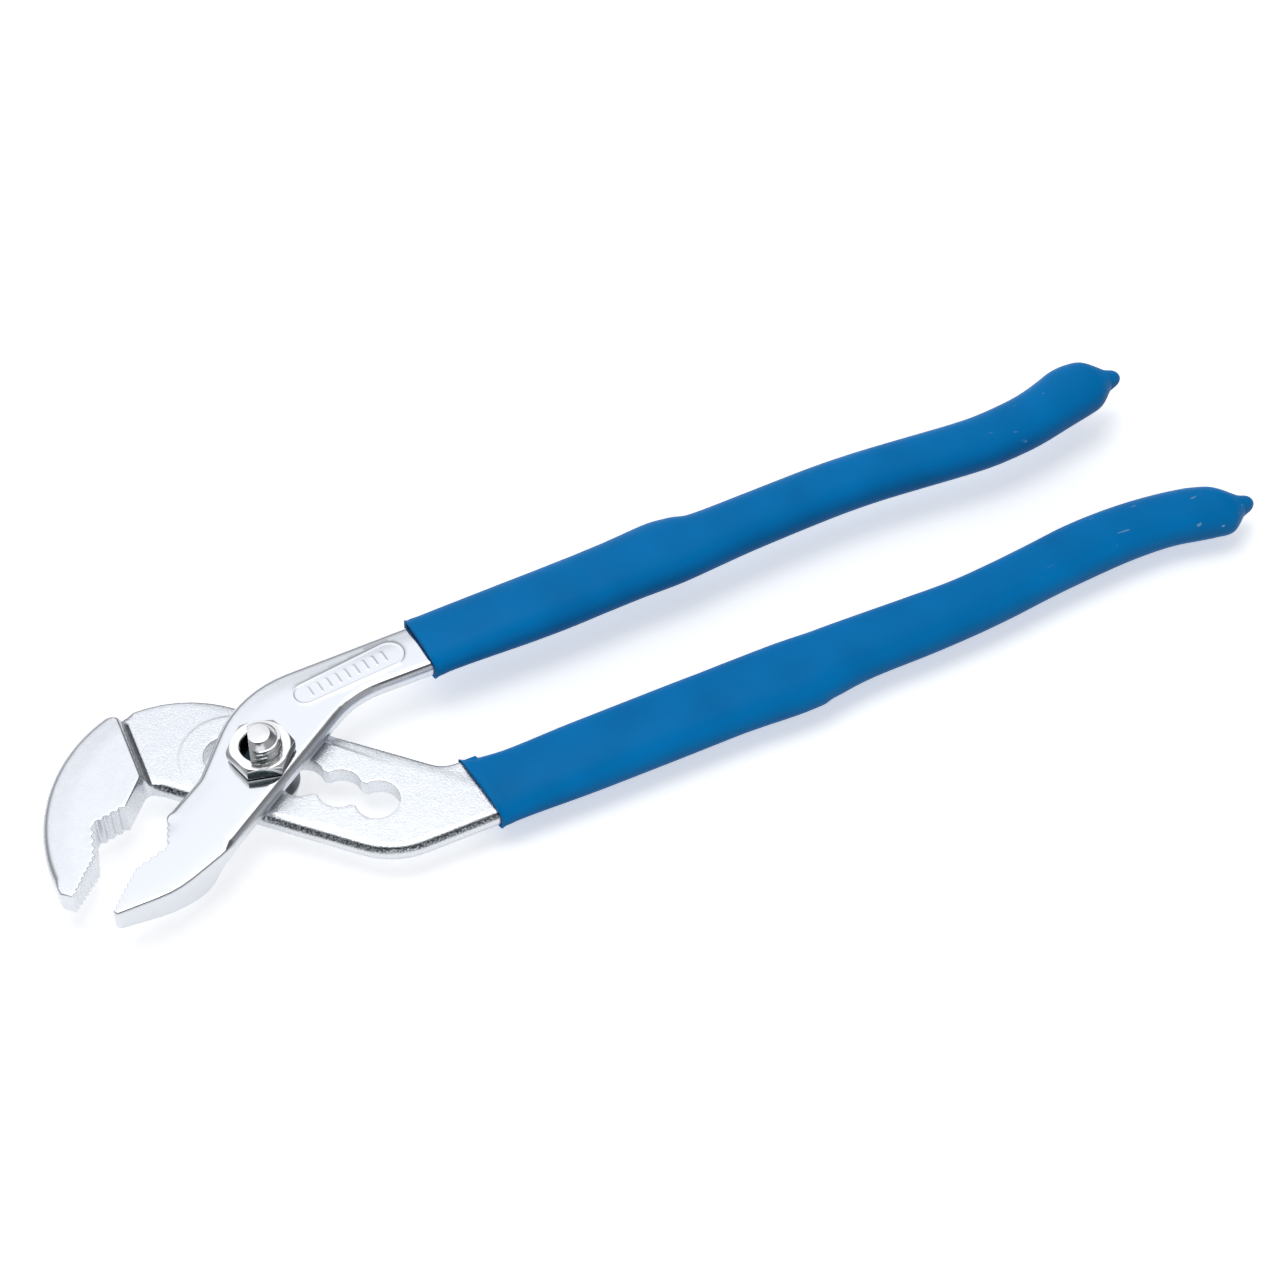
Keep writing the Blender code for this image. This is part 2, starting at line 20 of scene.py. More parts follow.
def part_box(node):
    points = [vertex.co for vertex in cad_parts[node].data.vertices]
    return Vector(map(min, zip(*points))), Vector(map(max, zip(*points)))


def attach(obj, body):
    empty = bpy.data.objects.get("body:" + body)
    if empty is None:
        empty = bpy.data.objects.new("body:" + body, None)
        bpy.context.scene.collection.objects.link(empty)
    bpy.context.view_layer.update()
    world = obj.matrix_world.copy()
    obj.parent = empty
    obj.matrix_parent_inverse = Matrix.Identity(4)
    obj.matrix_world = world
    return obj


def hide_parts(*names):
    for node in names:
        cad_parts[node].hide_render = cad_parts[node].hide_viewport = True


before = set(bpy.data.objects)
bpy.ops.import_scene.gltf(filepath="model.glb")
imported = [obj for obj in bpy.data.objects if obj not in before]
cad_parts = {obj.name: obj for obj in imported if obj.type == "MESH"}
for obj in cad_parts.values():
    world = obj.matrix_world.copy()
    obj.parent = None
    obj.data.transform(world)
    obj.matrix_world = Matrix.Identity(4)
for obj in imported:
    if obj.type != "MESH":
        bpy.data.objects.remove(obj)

logging.basicConfig(level=logging.INFO, format="%(message)s")
LOG = logging.getLogger("pliers")

MM = 0.001
SLOT_DIRECTION = math.radians(-45.0)
SHORTEST_STRETCH = 0.09
SLIVER_PASSES = 40
Height = Callable[[np.ndarray], np.ndarray]


class Body(Enum):
    """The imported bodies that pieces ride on."""

    SLOTTED_HALF = "slotted_half"
    SLOT_SLIDER = "slot_slider"
    LAPPED_HALF = "lapped_half"


class Slot(Enum):
    """The record's material slots."""

    FORGED = "forged_chrome"
    POLISHED = "polished_chrome"
    BOLT = "plated_bolt"
    NUT = "plated_nut"
    VINYL = "dipped_vinyl"


# ---------------------------------------------------------------- plane geometry


def slot_point(along: float, across: float) -> tuple[float, float]:
    """Turns a place along and across the slot into X and Y.

    Args:
        along: Distance along the slot from the bolt's axis at rest.
        across: Distance to the left of the slot's direction.

    Returns:
        The place as X and Y.
    """
    c, s = math.cos(SLOT_DIRECTION), math.sin(SLOT_DIRECTION)
    return along * c - across * s, along * s + across * c


def slot_axes(xy: np.ndarray) -> tuple[np.ndarray, np.ndarray]:
    """Turns X and Y into places along and across the slot.

    Args:
        xy: Points as rows.

    Returns:
        The distances along the slot, and across it.
    """
    c, s = math.cos(SLOT_DIRECTION), math.sin(SLOT_DIRECTION)
    return xy[:, 0] * c + xy[:, 1] * s, xy[:, 1] * c - xy[:, 0] * s


def arc(centre: tuple, radii: tuple, start: float, end: float, steps: int) -> list:
    """Points on an ellipse.

    Args:
        centre: The ellipse's centre.
        radii: Its radii along X and Y.
        start: First angle, in degrees.
        end: Last angle, in degrees.
        steps: The number of stretches between the points.

    Returns:
        The points in order.
    """
    angles = np.radians(np.linspace(start, end, steps + 1))
    return [(centre[0] + radii[0] * math.cos(a), centre[1] + radii[1] * math.sin(a)) for a in angles]


def rounded(corners: list, step: float = math.radians(6.0)) -> list:
    """Replaces each corner by an arc.

    Args:
        corners: The corners (x, y, radius) of a closed outline.
        step: The angle that one stretch of an arc turns through.

    Returns:
        The outline's points.
    """
    points = []
    for i, (x, y, radius) in enumerate(corners):
        corner = Vector((x, y))
        before = Vector(corners[i - 1][:2]) - corner
        after = Vector(corners[(i + 1) % len(corners)][:2]) - corner
        turn = math.pi - before.angle(after)
        if radius == 0 or turn < 0.01:
            points.append((x, y))
            continue
        reach = min(radius * math.tan(turn / 2), 0.48 * before.length, 0.48 * after.length)
        radius = reach / math.tan(turn / 2)
        middle = corner + (before.normalized() + after.normalized()).normalized() * math.hypot(radius, reach)
        arm = corner + before.normalized() * reach - middle
        count = max(2, round(turn / step))
        side = 1 if before.cross(after) < 0 else -1
        arms = [Matrix.Rotation(side * turn * k / count, 2) @ arm for k in range(count + 1)]
        points += [tuple(middle + reached) for reached in arms]
    return points


def toothed(start: tuple, end: tuple, count: int, depth: float) -> list:
    """Saw teeth whose roots lie to the left of their line.

    Args:
        start: The first crest.
        end: The last crest.
        count: The number of teeth.
        depth: From the crests' line to the roots.

    Returns:
        Crests and roots in order, each with a narrow land.
    """
    first = np.array(start)
    run = np.array(end) - first
    inward = np.array((-run[1], run[0])) / np.linalg.norm(run) * depth
    points = []
    for i in range(count):
        for share, deep in ((-0.04, 0), (0.04, 0), (0.44, 1), (0.56, 1)):
            if i + share >= 0:
                points.append(tuple(first + run * (i + share) / count + inward * deep))
    points.append(tuple(end))
    return points


def smooth(share: np.ndarray) -> np.ndarray:
    """An S-curve from 0 to 1 with level ends, clamped outside."""
    t = np.clip(share, 0.0, 1.0)
    return t * t * (3 - 2 * t)


def distance_to(points: np.ndarray, starts: np.ndarray, ends: np.ndarray) -> np.ndarray:
    """Distance from each point to the nearest of some line segments.

    Args:
        points: The points as rows.
        starts: First ends of the segments.
        ends: Second ends of the segments.

    Returns:
        One distance for each point.
    """
    run = ends - starts
    length = np.maximum((run ** 2).sum(1), 1e-12)
    found = []
    for part in np.array_split(points, max(1, len(points) // 1500)):
        arm = part[:, None, :] - starts[None]
        share = np.clip((arm * run[None]).sum(2) / length, 0, 1)
        found.append(np.sqrt(((arm - share[..., None] * run[None]) ** 2).sum(2)).min(1))
    return np.concatenate(found)


def inside(points: np.ndarray, loop: np.ndarray) -> np.ndarray:
    """Whether each point lies inside a closed loop.

    Args:
        points: The points as rows.
        loop: The loop's corners as rows.

    Returns:
        One truth value for each point.
    """
    x1, y1 = loop[:, 0], loop[:, 1]
    x2, y2 = np.roll(x1, -1), np.roll(y1, -1)
    slope = (x2 - x1) / np.where(y2 == y1, 1e-12, y2 - y1)
    found = []
    for part in np.array_split(points, max(1, len(points) // 3000)):
        x, y = part[:, :1], part[:, 1:2]
        crossed = ((y1 > y) != (y2 > y)) & (x < x1 + slope * (y - y1))
        found.append(crossed.sum(1) % 2 == 1)
    return np.concatenate(found)


def in_metal(points: np.ndarray, loops: list) -> np.ndarray:
    """Finds the points inside the first loop and outside the others.

    Args:
        points: Points as rows.
        loops: The outline and then the holes, each as rows.

    Returns:
        One true or false for each point.
    """
    good = inside(points, loops[0])
    for hole in loops[1:]:
        good &= ~inside(points, hole)
    return good


def staggered(low: np.ndarray, high: np.ndarray, spacing: float) -> np.ndarray:
    """A staggered grid of points over a rectangle.

    Args:
        low: The rectangle's lowest corner.
        high: Its highest corner.
        spacing: Distance between neighbours.

    Returns:
        The points as rows.
    """
    rows = np.arange(low[1], high[1], spacing * math.sqrt(3) / 2)
    columns = np.arange(low[0], high[0], spacing)
    x = columns[None, :] + (np.arange(len(rows)) % 2)[:, None] * spacing / 2
    return np.stack([x, np.broadcast_to(rows[:, None], x.shape)], axis=2).reshape(-1, 2)


# ---------------------------------------------------------------- mesh building


def mesh_object(name: str, points: np.ndarray, faces: list, sharp: float) -> bpy.types.Object:
    """Makes a smooth-shaded mesh object.

    Args:
        name: The piece's name.
        points: Its points in millimetres, as rows.
        faces: Its faces as lists of point numbers.
        sharp: Edges that turn by more than this many degrees stay sharp.

    Returns:
        The new object.
    """
    mesh = bpy.data.meshes.new(name)
    mesh.from_pydata((np.asarray(points, float) * MM).tolist(), [], faces)
    mesh.validate()
    mesh.shade_smooth()
    mesh.set_sharp_from_angle(angle=math.radians(sharp))
    obj = bpy.data.objects.new(name, mesh)
    bpy.context.scene.collection.objects.link(obj)
    return obj


def without_slivers(flat: np.ndarray, corners: list, good: list, least: float = 0.01) -> list:
    """Removes triangles that are flatter than a hair and splits their neighbours instead.

    Args:
        flat: The points as rows.
        corners: The triangles as lists of point numbers, counter-clockwise.
        good: Which of them lie in the metal. A sliver on a contour may count as either, so it isn't asked.
        least: The least height of a triangle.

    Returns:
        The triangles that remain.
    """
    def long_side(face: tuple) -> tuple | None:
        """Finds a sliver's longest side.

        Args:
            face: The triangle's point numbers.

        Returns:
            That side's two ends and the third corner, or nothing for a sound triangle.
        """
        lengths = [math.dist(flat[face[k]], flat[face[(k + 1) % 3]]) for k in range(3)]
        longest = int(np.argmax(lengths))
        a, c, b = face[longest], face[(longest + 1) % 3], face[(longest + 2) % 3]
        (ax, ay), (bx, by), (cx, cy) = flat[a], flat[b], flat[c]
        height = ((cx - ax) * (by - ay) - (cy - ay) * (bx - ax)) / lengths[longest]
        return (a, c, b) if height <= least else None

    chosen = [kept or bool(long_side(face)) for face, kept in zip(corners, good)]
    faces = {number: tuple(face) for number, face in enumerate(corners) if chosen[number]}
    edges = {(f[k], f[(k + 1) % 3]): number for number, f in faces.items() for k in range(3)}
    slivers = {number for number, face in faces.items() if long_side(face)}
    # A sliver waits while its neighbour is one too, unless a whole pass brought nothing.
    stuck = False
    for _ in range(SLIVER_PASSES):
        before = len(faces)
        for number in sorted(slivers):
            if number not in slivers:
                continue
            a, c, b = long_side(faces[number])
            other = edges.get((c, a))
            if other in slivers and not stuck:
                continue
            stuck = False
            slivers.discard(number)
            del faces[number]
            if other not in faces:
                continue
            slivers.discard(other)
            d = next(v for v in faces.pop(other) if v not in (a, c))
            for new in ((c, b, d), (b, a, d)):
                key = max(faces) + 1
                faces[key] = new
                edges.update({(new[k], new[(k + 1) % 3]): key for k in range(3)})
                if long_side(new):
                    slivers.add(key)
            before = -1
        stuck = before == len(faces)
    return list(faces.values())


def skin(rows: int, columns: int, first: int = 0) -> list:
    """Faces between neighbouring closed rings.

    Args:
        rows: The number of rings.
        columns: The number of points on each ring.
        first: Number of the first point.

    Returns:
        The faces, which face out where a ring runs counter-clockwise and the rows run down.
    """
    faces = []
    for r in range(rows - 1):
        for c in range(columns):
            d = (c + 1) % columns
            a = first + r * columns
            faces.append((a + c, a + columns + c, a + columns + d, a + d))
    return faces


@dataclass
class Contour:
    """A closed contour whose points also carry the radius of the rim above and below them."""

    points: list = field(default_factory=list)

    def run(self, points: list, rim: float) -> "Contour":
        """Adds points that share one rim radius.

        Args:
            points: Points (x, y).
            rim: The rim radius along them.

        Returns:
            This contour.
        """
        self.points += [(x, y, rim) for x, y in points]
        return self

    def sampled(self, spacing: Callable[[float], float], slope: float = 0.4) -> np.ndarray:
        """Splits long stretches, and lets the rim radius change only gradually.

        Args:
            spacing: The longest stretch at a given X.
            slope: Most change of the rim radius over a distance.

        Returns:
            Rows of x, y and rim radius.
        """
        rows = []
        for a, b in zip(np.array(self.points), np.roll(self.points, -1, 0)):
            length = math.hypot(*(b - a)[:2])
            if length < SHORTEST_STRETCH:
                continue
            pieces = max(1, math.ceil(length / spacing((a[0] + b[0]) / 2)))
            rows += [a + (b - a) * k / pieces for k in range(pieces)]
        found = np.array(rows)
        gaps = np.linalg.norm(np.roll(found, -1, 0)[:, :2] - found[:, :2], axis=1)
        for _ in range(2):
            for i in range(len(found)):
                found[i, 2] = min(found[i, 2], found[i - 1, 2] + slope * gaps[i - 1])
            for i in range(len(found) - 1, -1, -1):
                j = (i + 1) % len(found)
                found[i, 2] = min(found[i, 2], found[j, 2] + slope * gaps[i])
        return found


@dataclass
class Forging:
    """A plate with rounded rims between a top and an underside that are both height maps."""

    name: str
    outline: Contour
    holes: list
    top: Height
    underside: Height
    hidden_from: float
    zones: list = field(default_factory=list)
    lines: list = field(default_factory=list)
    grid: float = 0.8
    hidden_grid: float = 3.5
    line_gap: float = 0.22
    rim_steps: int = 5
    wall_rows: int = 2
    sharp: float = 34.0

    def spacing(self, x: float) -> float:
        """The longest stretch of a contour at X: coarse where a grip covers the metal."""
        return 0.5 if x < self.hidden_from else 3.0

    def offsets(self, loop: np.ndarray) -> np.ndarray:
        """Directions into the metal at each point of a contour.

        Args:
            loop: Rows of x, y and rim radius, with the metal on the left.

        Returns:
            Vectors that move a point by one unit away from both neighbouring edges.
        """
        xy = loop[:, :2]
        run = np.roll(xy, -1, 0) - xy
        left = np.stack([-run[:, 1], run[:, 0]], 1) / np.linalg.norm(run, axis=1)[:, None]
        both = left + np.roll(left, 1, 0)
        length = np.linalg.norm(both, axis=1)
        return both / length[:, None] * np.minimum(2 / np.maximum(length, 0.1), 1.4)[:, None]

    def inner_points(self, loops: list) -> np.ndarray:
        """Points that carry the height maps inside the rims.

        Args:
            loops: The innermost rings.

        Returns:
            The points as rows.
        """
        low, high = loops[0].min(0), loops[0].max(0)
        sets = [(np.concatenate(self.lines), self.line_gap)] if self.lines else []
        for wanted, spacing in self.zones:
            grid = staggered(low, high, spacing)
            sets.append((grid[wanted(grid)], spacing))
        sets.append((staggered(low, np.array((self.hidden_from, high[1])), self.grid), self.grid))
        hidden = np.array((self.hidden_from + 2, low[1]))
        sets.append((staggered(hidden, high, self.hidden_grid), self.hidden_grid))
        rings = np.concatenate(loops)
        chosen = np.empty((0, 2))
        for points, spacing in sets:
            points = points[in_metal(points, loops)]
            taken = np.concatenate([rings, chosen])
            points = points[distance_to(points, taken, taken) > min(0.62 * spacing, 0.9)]
            chosen = np.concatenate([chosen, points])
        return chosen

    def build(self) -> bpy.types.Object:
        """Makes the piece: rims and walls as rings, and both faces as triangles.

        Returns:
            The new object.
        """
        contours = [c.sampled(self.spacing) for c in [self.outline, *self.holes]]
        angles = np.linspace(math.pi / 2, 0, self.rim_steps + 1)
        points, faces, loops, first = [], [], [], 0
        for loop in contours:
            inward = self.offsets(loop)
            rim = loop[:, 2]
            upper, lower = [], []
            for angle in angles:
                xy = loop[:, :2] + inward * (rim * (1 - math.cos(angle)))[:, None]
                drop = rim * (1 - math.sin(angle))
                upper.append(np.column_stack([xy, self.top(xy) - drop]))
                lower.append(np.column_stack([xy, self.underside(xy) + drop]))
            shares = np.linspace(0, 1, self.wall_rows + 2)[1:-1]
            wall = [upper[-1] * (1 - s) + lower[-1] * s for s in shares]
            rings = upper + wall + lower[::-1]
            points += rings
            faces += skin(len(rings), len(loop), first)
            loops.append((upper[0][:, :2], first, first + (len(rings) - 1) * len(loop)))
            first += len(rings) * len(loop)
        inner = self.inner_points([loop for loop, _, _ in loops])
        flat, edges, tops, bottoms = [], [], [], []
        for loop, top_first, bottom_first in loops:
            start = len(flat)
            flat += loop.tolist()
            edges += [(start + i, start + (i + 1) % len(loop)) for i in range(len(loop))]
            tops += range(top_first, top_first + len(loop))
            bottoms += range(bottom_first, bottom_first + len(loop))
        tops += range(first, first + len(inner))
        bottoms += range(first + len(inner), first + 2 * len(inner))
        points += [
            np.column_stack([inner, self.top(inner)]),
            np.column_stack([inner, self.underside(inner)]),
        ]
        flat += inner.tolist()
        made = delaunay_2d_cdt([Vector(p) for p in flat], edges, [], 0, 1e-6)
        where = [source[0] if source else -1 for source in made[3]]
        corners = np.array([[where[v] for v in face] for face in made[2]])
        corners = corners[(corners >= 0).all(1)]
        middles = np.array(flat)[corners].mean(1)
        good = in_metal(middles, [loop for loop, _, _ in loops])
        for a, b, c in without_slivers(np.array(flat), corners.tolist(), good.tolist()):
            faces.append((tops[a], tops[b], tops[c]))
            faces.append((bottoms[c], bottoms[b], bottoms[a]))
        return mesh_object(self.name, np.concatenate(points), faces, self.sharp)


# ---------------------------------------------------------------- finishes


def linear(colour: str) -> tuple[float, float, float, float]:
    """Turns an sRGB hex colour into linear values.

    Args:
        colour: The colour as six hex digits after a #.

    Returns:
        Red, green, blue and alpha.
    """
    parts = [int(colour[i:i + 2], 16) / 255 for i in (1, 3, 5)]
    return (*[p / 12.92 if p <= 0.04045 else ((p + 0.055) / 1.055) ** 2.4 for p in parts], 1.0)


def per_metre(size: float) -> float:
    """The texture scale whose pattern repeats about every `size` millimetres."""
    return 1.0 / (size * MM)


def add_node(tree: bpy.types.NodeTree, kind: str, settings: dict | None = None, links: dict | None = None,
             output: int | str = 0) -> bpy.types.NodeSocket | None:
    """Adds a node with its settings and links.

    Args:
        tree: The node tree.
        kind: The node's type, without the leading "ShaderNode".
        settings: Values for properties, or for input sockets, by name or number.
        links: Output sockets that feed input sockets, by name or number.
        output: The output socket that is wanted.

    Returns:
        That socket, or nothing for a node without outputs.
    """
    node = tree.nodes.new("ShaderNode" + kind)
    for name, value in (settings or {}).items():
        if isinstance(name, str) and hasattr(node, name):
            setattr(node, name, value)
        else:
            node.inputs[name].default_value = value
    for name, source in (links or {}).items():
        tree.links.new(source, node.inputs[name])
    return node.outputs[output] if node.outputs else None


@dataclass(frozen=True)
class Finish:
    """What every finish starts from: a Principled shader with its colour and gloss."""

    name: str
    colour: str
    roughness: float
    metallic: float = 1.0
    specular: float = 0.5

    def material(self) -> bpy.types.Material:
        """Makes the material and lets the finish add its own detail.

        Returns:
            The new material.
        """
        material = bpy.data.materials.new(self.name)
        material.use_nodes = True
        tree = material.node_tree
        tree.nodes.clear()
        add = partial(add_node, tree)
        surface = add("BsdfPrincipled", {
            "Base Color": linear(self.colour), "Roughness": self.roughness, "Metallic": self.metallic,
            "Specular IOR Level": self.specular,
        })
        add("OutputMaterial", links={"Surface": surface})
        for name, source in self.detail(add, add("TexCoord", output="Object")).items():
            tree.links.new(source, surface.node.inputs[name])
        return material

    def detail(self, add: Callable, place: bpy.types.NodeSocket) -> dict:
        """The sockets that feed the shader's inputs, by name. The plain base has none."""
        return {}


@dataclass(frozen=True)
class BlastedChrome(Finish):
    """Decorative chrome over a shot-blasted drop forging.

    The plating keeps the pits of the blasting, so the flats look frosted and bright; the rims get a painted
    dark reflection, broken into grains by the pits.
    """

    grain: float = 0.42
    waves: float = 2.6
    linished_up_to: float = -24.5
    relief: float = 0.07
    painted_rim_reflection: str = "#1E3236"

    def detail(self, add: Callable, place: bpy.types.NodeSocket) -> dict:
        """Adds pits, slow waves, the gloss that changes with them, and a painted dark reflection in grains on
        the rims.

        Args:
            add: Adds a node to the material.
            place: Object coordinates.

        Returns:
            The sockets that feed the shader, by input.
        """
        # Real blasting pits are 0.1 to 0.2 mm wide. They are drawn coarser, so that they still show.
        pits = add("TexNoise", {"Scale": per_metre(self.grain), "Detail": 3.0, "Roughness": 0.6},
                   {"Vector": place})
        waves = add("TexNoise", {"Scale": per_metre(self.waves), "Detail": 2.0}, {"Vector": place})
        gloss = add("MapRange", {"From Min": 0.35, "From Max": 0.65, "To Min": self.roughness - 0.05,
                                 "To Max": self.roughness + 0.07}, {"Value": pits})
        # The jaw is linished after blasting, so its pits are shallower than the plate's.
        along = add("SeparateXYZ", links={0: place})
        kept = add("MapRange", {"From Min": (self.linished_up_to - 1.5) * MM,
                                "From Max": self.linished_up_to * MM, "To Min": 0.16}, {"Value": along})
        rough = add("Bump", {"Distance": self.relief * MM}, {"Height": pits, "Strength": kept})
        bump = add("Bump", {"Strength": 0.5, "Distance": self.relief * MM},
                   {"Height": waves, "Normal": rough})
        stain = add("MapRange", {"From Min": 0.3, "From Max": 0.7, "To Min": 0.97}, {"Value": waves})
        tint = add("Mix", {"data_type": "RGBA", "blend_type": "MULTIPLY", "Factor": 1.0,
                           6: linear(self.colour)}, {7: stain}, 2)
        # The rounded rims get a painted dark reflection: a dark teal colour where the normal tilts, broken up
        # by the grains of the pits.
        facing = add("SeparateXYZ", links={0: add("NewGeometry", output="Normal")}, output="Z")
        level = add("Math", {"operation": "ABSOLUTE"}, {0: facing})
        share = add("MapRange", {"From Min": 0.97, "From Max": 0.88}, {"Value": level})
        upper = add("MapRange", {"From Min": 0.35, "From Max": 0.6}, {"Value": level})
        grains = add("MapRange", {"From Min": 0.4, "From Max": 0.56, "To Min": 0.1, "To Max": 0.92},
                     {"Value": pits})
        for factor in (upper, grains, kept):
            share = add("Math", {"operation": "MULTIPLY"}, {0: share, 1: factor})
        # Mixes the painted dark reflection into the colour of the rims.
        with_painted_rim_reflection = add("Mix", {"data_type": "RGBA", 7: linear(self.painted_rim_reflection)}, {0: share, 6: tint}, 2)
        return {"Base Color": with_painted_rim_reflection, "Roughness": gloss, "Normal": bump}


@dataclass(frozen=True)
class PolishedChrome(Finish):
    """Bright chrome on faces that were linished flat, with the forging's own grain left on their edges.

    The flats mirror what stands on them with a slight softness, and the edges sparkle.
    """

    grain: float = 0.4
    edge_roughness: float = 0.3
    linishing: float = 0.12
    stretch: float = 9.0
    waves: float = 9.0

    def detail(self, add: Callable, place: bpy.types.NodeSocket) -> dict:
        """Adds faint linishing lines on the flats, and grain where the surface turns down.

        Args:
            add: Adds a node to the material.
            place: Object coordinates.

        Returns:
            The sockets that feed the shader, by input.
        """
        facing = add("SeparateXYZ", links={0: add("NewGeometry", output="Normal")}, output="Z")
        level = add("Math", {"operation": "ABSOLUTE"}, {0: facing})
        edge = add("MapRange", {"From Min": 0.93, "From Max": 0.55}, {"Value": level})
        pits = add("TexNoise", {"Scale": per_metre(self.grain), "Detail": 3.0}, {"Vector": place})
        pitted = add("Math", {"operation": "MULTIPLY"}, {0: edge, 1: pits})
        # Linishing leaves lines a few hundredths of a millimetre apart, drawn here as faint bands.
        stretched = add("Mapping", {"Scale": (1.0, self.stretch, 1.0), "Rotation": (0, 0, math.radians(8))},
                        {"Vector": place})
        lines = add("TexNoise", {"Scale": per_metre(self.linishing * self.stretch), "Detail": 2.0},
                    {"Vector": stretched})
        waves = add("TexNoise", {"Scale": per_metre(self.waves), "Detail": 1.0}, {"Vector": place})
        fine = add("Bump", {"Strength": 0.25, "Distance": 0.004 * MM}, {"Height": lines})
        slow = add("Bump", {"Strength": 0.5, "Distance": 0.05 * MM}, {"Height": waves, "Normal": fine})
        bump = add("Bump", {"Strength": 0.9, "Distance": 0.05 * MM}, {"Height": pitted, "Normal": slow})
        gloss = add("Mix", {"data_type": "FLOAT", 2: self.roughness, 3: self.edge_roughness}, {0: edge})
        return {"Roughness": gloss, "Normal": bump}


@dataclass(frozen=True)
class PlatedSteel(Finish):
    """Zinc or nickel plate on steel that was turned in a lathe.

    Feed marks run round the axis and give the flats a faint ringed gloss. Thread that the nut covers, and the
    nut's bore, get painted shade.
    """

    feed: float = 0.16
    relief: float = 0.006
    dark_inside: float = 0.0
    dark_below: float = 0.0
    dark_depth: float = 5.0
    painted_thread_shade: str = "#1C2A2C"

    def detail(self, add: Callable, place: bpy.types.NodeSocket) -> dict:
        """Adds rings round the bolt's axis, soft spots in the gloss, and painted shade on the covered thread
        and bore.

        Args:
            add: Adds a node to the material.
            place: Object coordinates.

        Returns:
            The sockets that feed the shader, by input.
        """
        rings = add("TexWave", {"wave_type": "RINGS", "rings_direction": "Z",
                                "Scale": per_metre(self.feed) / 20, "Distortion": 0.4, "Detail": 1.0},
                    {"Vector": place}, "Fac")
        spots = add("TexNoise", {"Scale": per_metre(1.8), "Detail": 4.0}, {"Vector": place})
        bump = add("Bump", {"Strength": 0.5, "Distance": self.relief * MM}, {"Height": rings})
        grain = add("Bump", {"Strength": 0.4, "Distance": 0.02 * MM}, {"Height": spots, "Normal": bump})
        gloss = add("MapRange", {"From Min": 0.3, "From Max": 0.7, "To Min": self.roughness - 0.04,
                                 "To Max": self.roughness + 0.08}, {"Value": spots})
        found = {"Roughness": gloss, "Normal": grain}
        # Painted shade: inside a radius and over a band of heights the colour turns dark, for the shade in
        # the gap between nut and bolt.
        if self.dark_inside:
            flat = add("VectorMath", {"operation": "MULTIPLY", 1: (1.0, 1.0, 0.0)}, {0: place})
            radius = add("VectorMath", {"operation": "LENGTH"}, {0: flat}, "Value")
            outside = add("MapRange", {"From Min": (self.dark_inside - 0.02) * MM,
                                       "From Max": (self.dark_inside + 0.02) * MM}, {"Value": radius})
            covered = add("Math", {"operation": "COMPARE", 1: (self.dark_below - self.dark_depth / 2) * MM,
                                   2: self.dark_depth / 2 * MM},
                          {0: add("SeparateXYZ", links={0: place}, output="Z")})
            bare = add("Math", {"operation": "SUBTRACT", 0: 1.0}, {1: covered})
            outside_painted_shade = add("Math", {"operation": "MAXIMUM"}, {0: outside, 1: bare})
            found["Base Color"] = add("Mix", {"data_type": "RGBA", 6: linear(self.painted_thread_shade),
                                              7: linear(self.colour)}, {0: outside_painted_shade}, 2)
        return found


@dataclass(frozen=True)
class DippedVinyl(Finish):
    """Plastisol (soft PVC) that the handles were dipped in and that was then cured.

    It has a silky gloss, a faint orange peel and slow sags from running off, and scuffs show paler.
    """

    peel: float = 1.1
    sags: float = 14.0
    scuff: str = "#6FA3CF"
    scuff_from: float = 190.0

    def detail(self, add: Callable, place: bpy.types.NodeSocket) -> dict:
        """Adds orange peel, sags, a slight mottle, painted shade that darkens the flanks and underside, and a
        few scuffs near the end.

        Args:
            add: Adds a node to the material.
            place: Object coordinates.

        Returns:
            The sockets that feed the shader, by input.
        """
        peel = add("TexNoise", {"Scale": per_metre(self.peel), "Detail": 2.0}, {"Vector": place})
        sags = add("TexNoise", {"Scale": per_metre(self.sags), "Detail": 1.0}, {"Vector": place})
        fine = add("Bump", {"Strength": 0.5, "Distance": 0.02 * MM}, {"Height": peel})
        slow = add("Bump", {"Strength": 0.6, "Distance": 0.25 * MM}, {"Height": sags, "Normal": fine})
        mottle = add("MapRange", {"From Min": 0.3, "From Max": 0.7, "To Min": 0.92, "To Max": 1.06},
                     {"Value": sags})
        # Painted shade: the colour darkens on the flanks and underside as their normals turn away from up.
        facing = add("SeparateXYZ", links={0: add("NewGeometry", output="Normal")}, output="Z")
        painted_flank_shade = add("MapRange", {"From Min": 0.85, "From Max": 0.0, "To Min": 1.0, "To Max": 0.5},
                     {"Value": facing})
        shade = add("Math", {"operation": "MULTIPLY"}, {0: mottle, 1: painted_flank_shade})
        body = add("Mix", {"data_type": "RGBA", "blend_type": "MULTIPLY", "Factor": 1.0,
                           6: linear(self.colour)}, {7: shade}, 2)
        scraped = add("Mapping", {"Scale": (0.35, 1.0, 1.0), "Rotation": (0, 0, 0.5)}, {"Vector": place})
        nicks = add("TexNoise", {"Scale": per_metre(1.3), "Detail": 1.0}, {"Vector": scraped})
        nicked = add("MapRange", {"From Min": 0.73, "From Max": 0.78}, {"Value": nicks})
        near_end = add("MapRange", {"From Min": self.scuff_from * MM,
                                    "From Max": (self.scuff_from + 30) * MM},
                       {"Value": add("SeparateXYZ", links={0: place})})
        scuff = add("Math", {"operation": "MULTIPLY"}, {0: nicked, 1: near_end})
        worn = add("Mix", {"data_type": "RGBA", 7: linear(self.scuff)}, {0: scuff, 6: body}, 2)
        gloss = add("MapRange", {"From Min": 0.3, "From Max": 0.7, "To Min": self.roughness - 0.05,
                                 "To Max": self.roughness + 0.05}, {"Value": peel})
        return {"Base Color": worn, "Roughness": gloss, "Normal": slow}


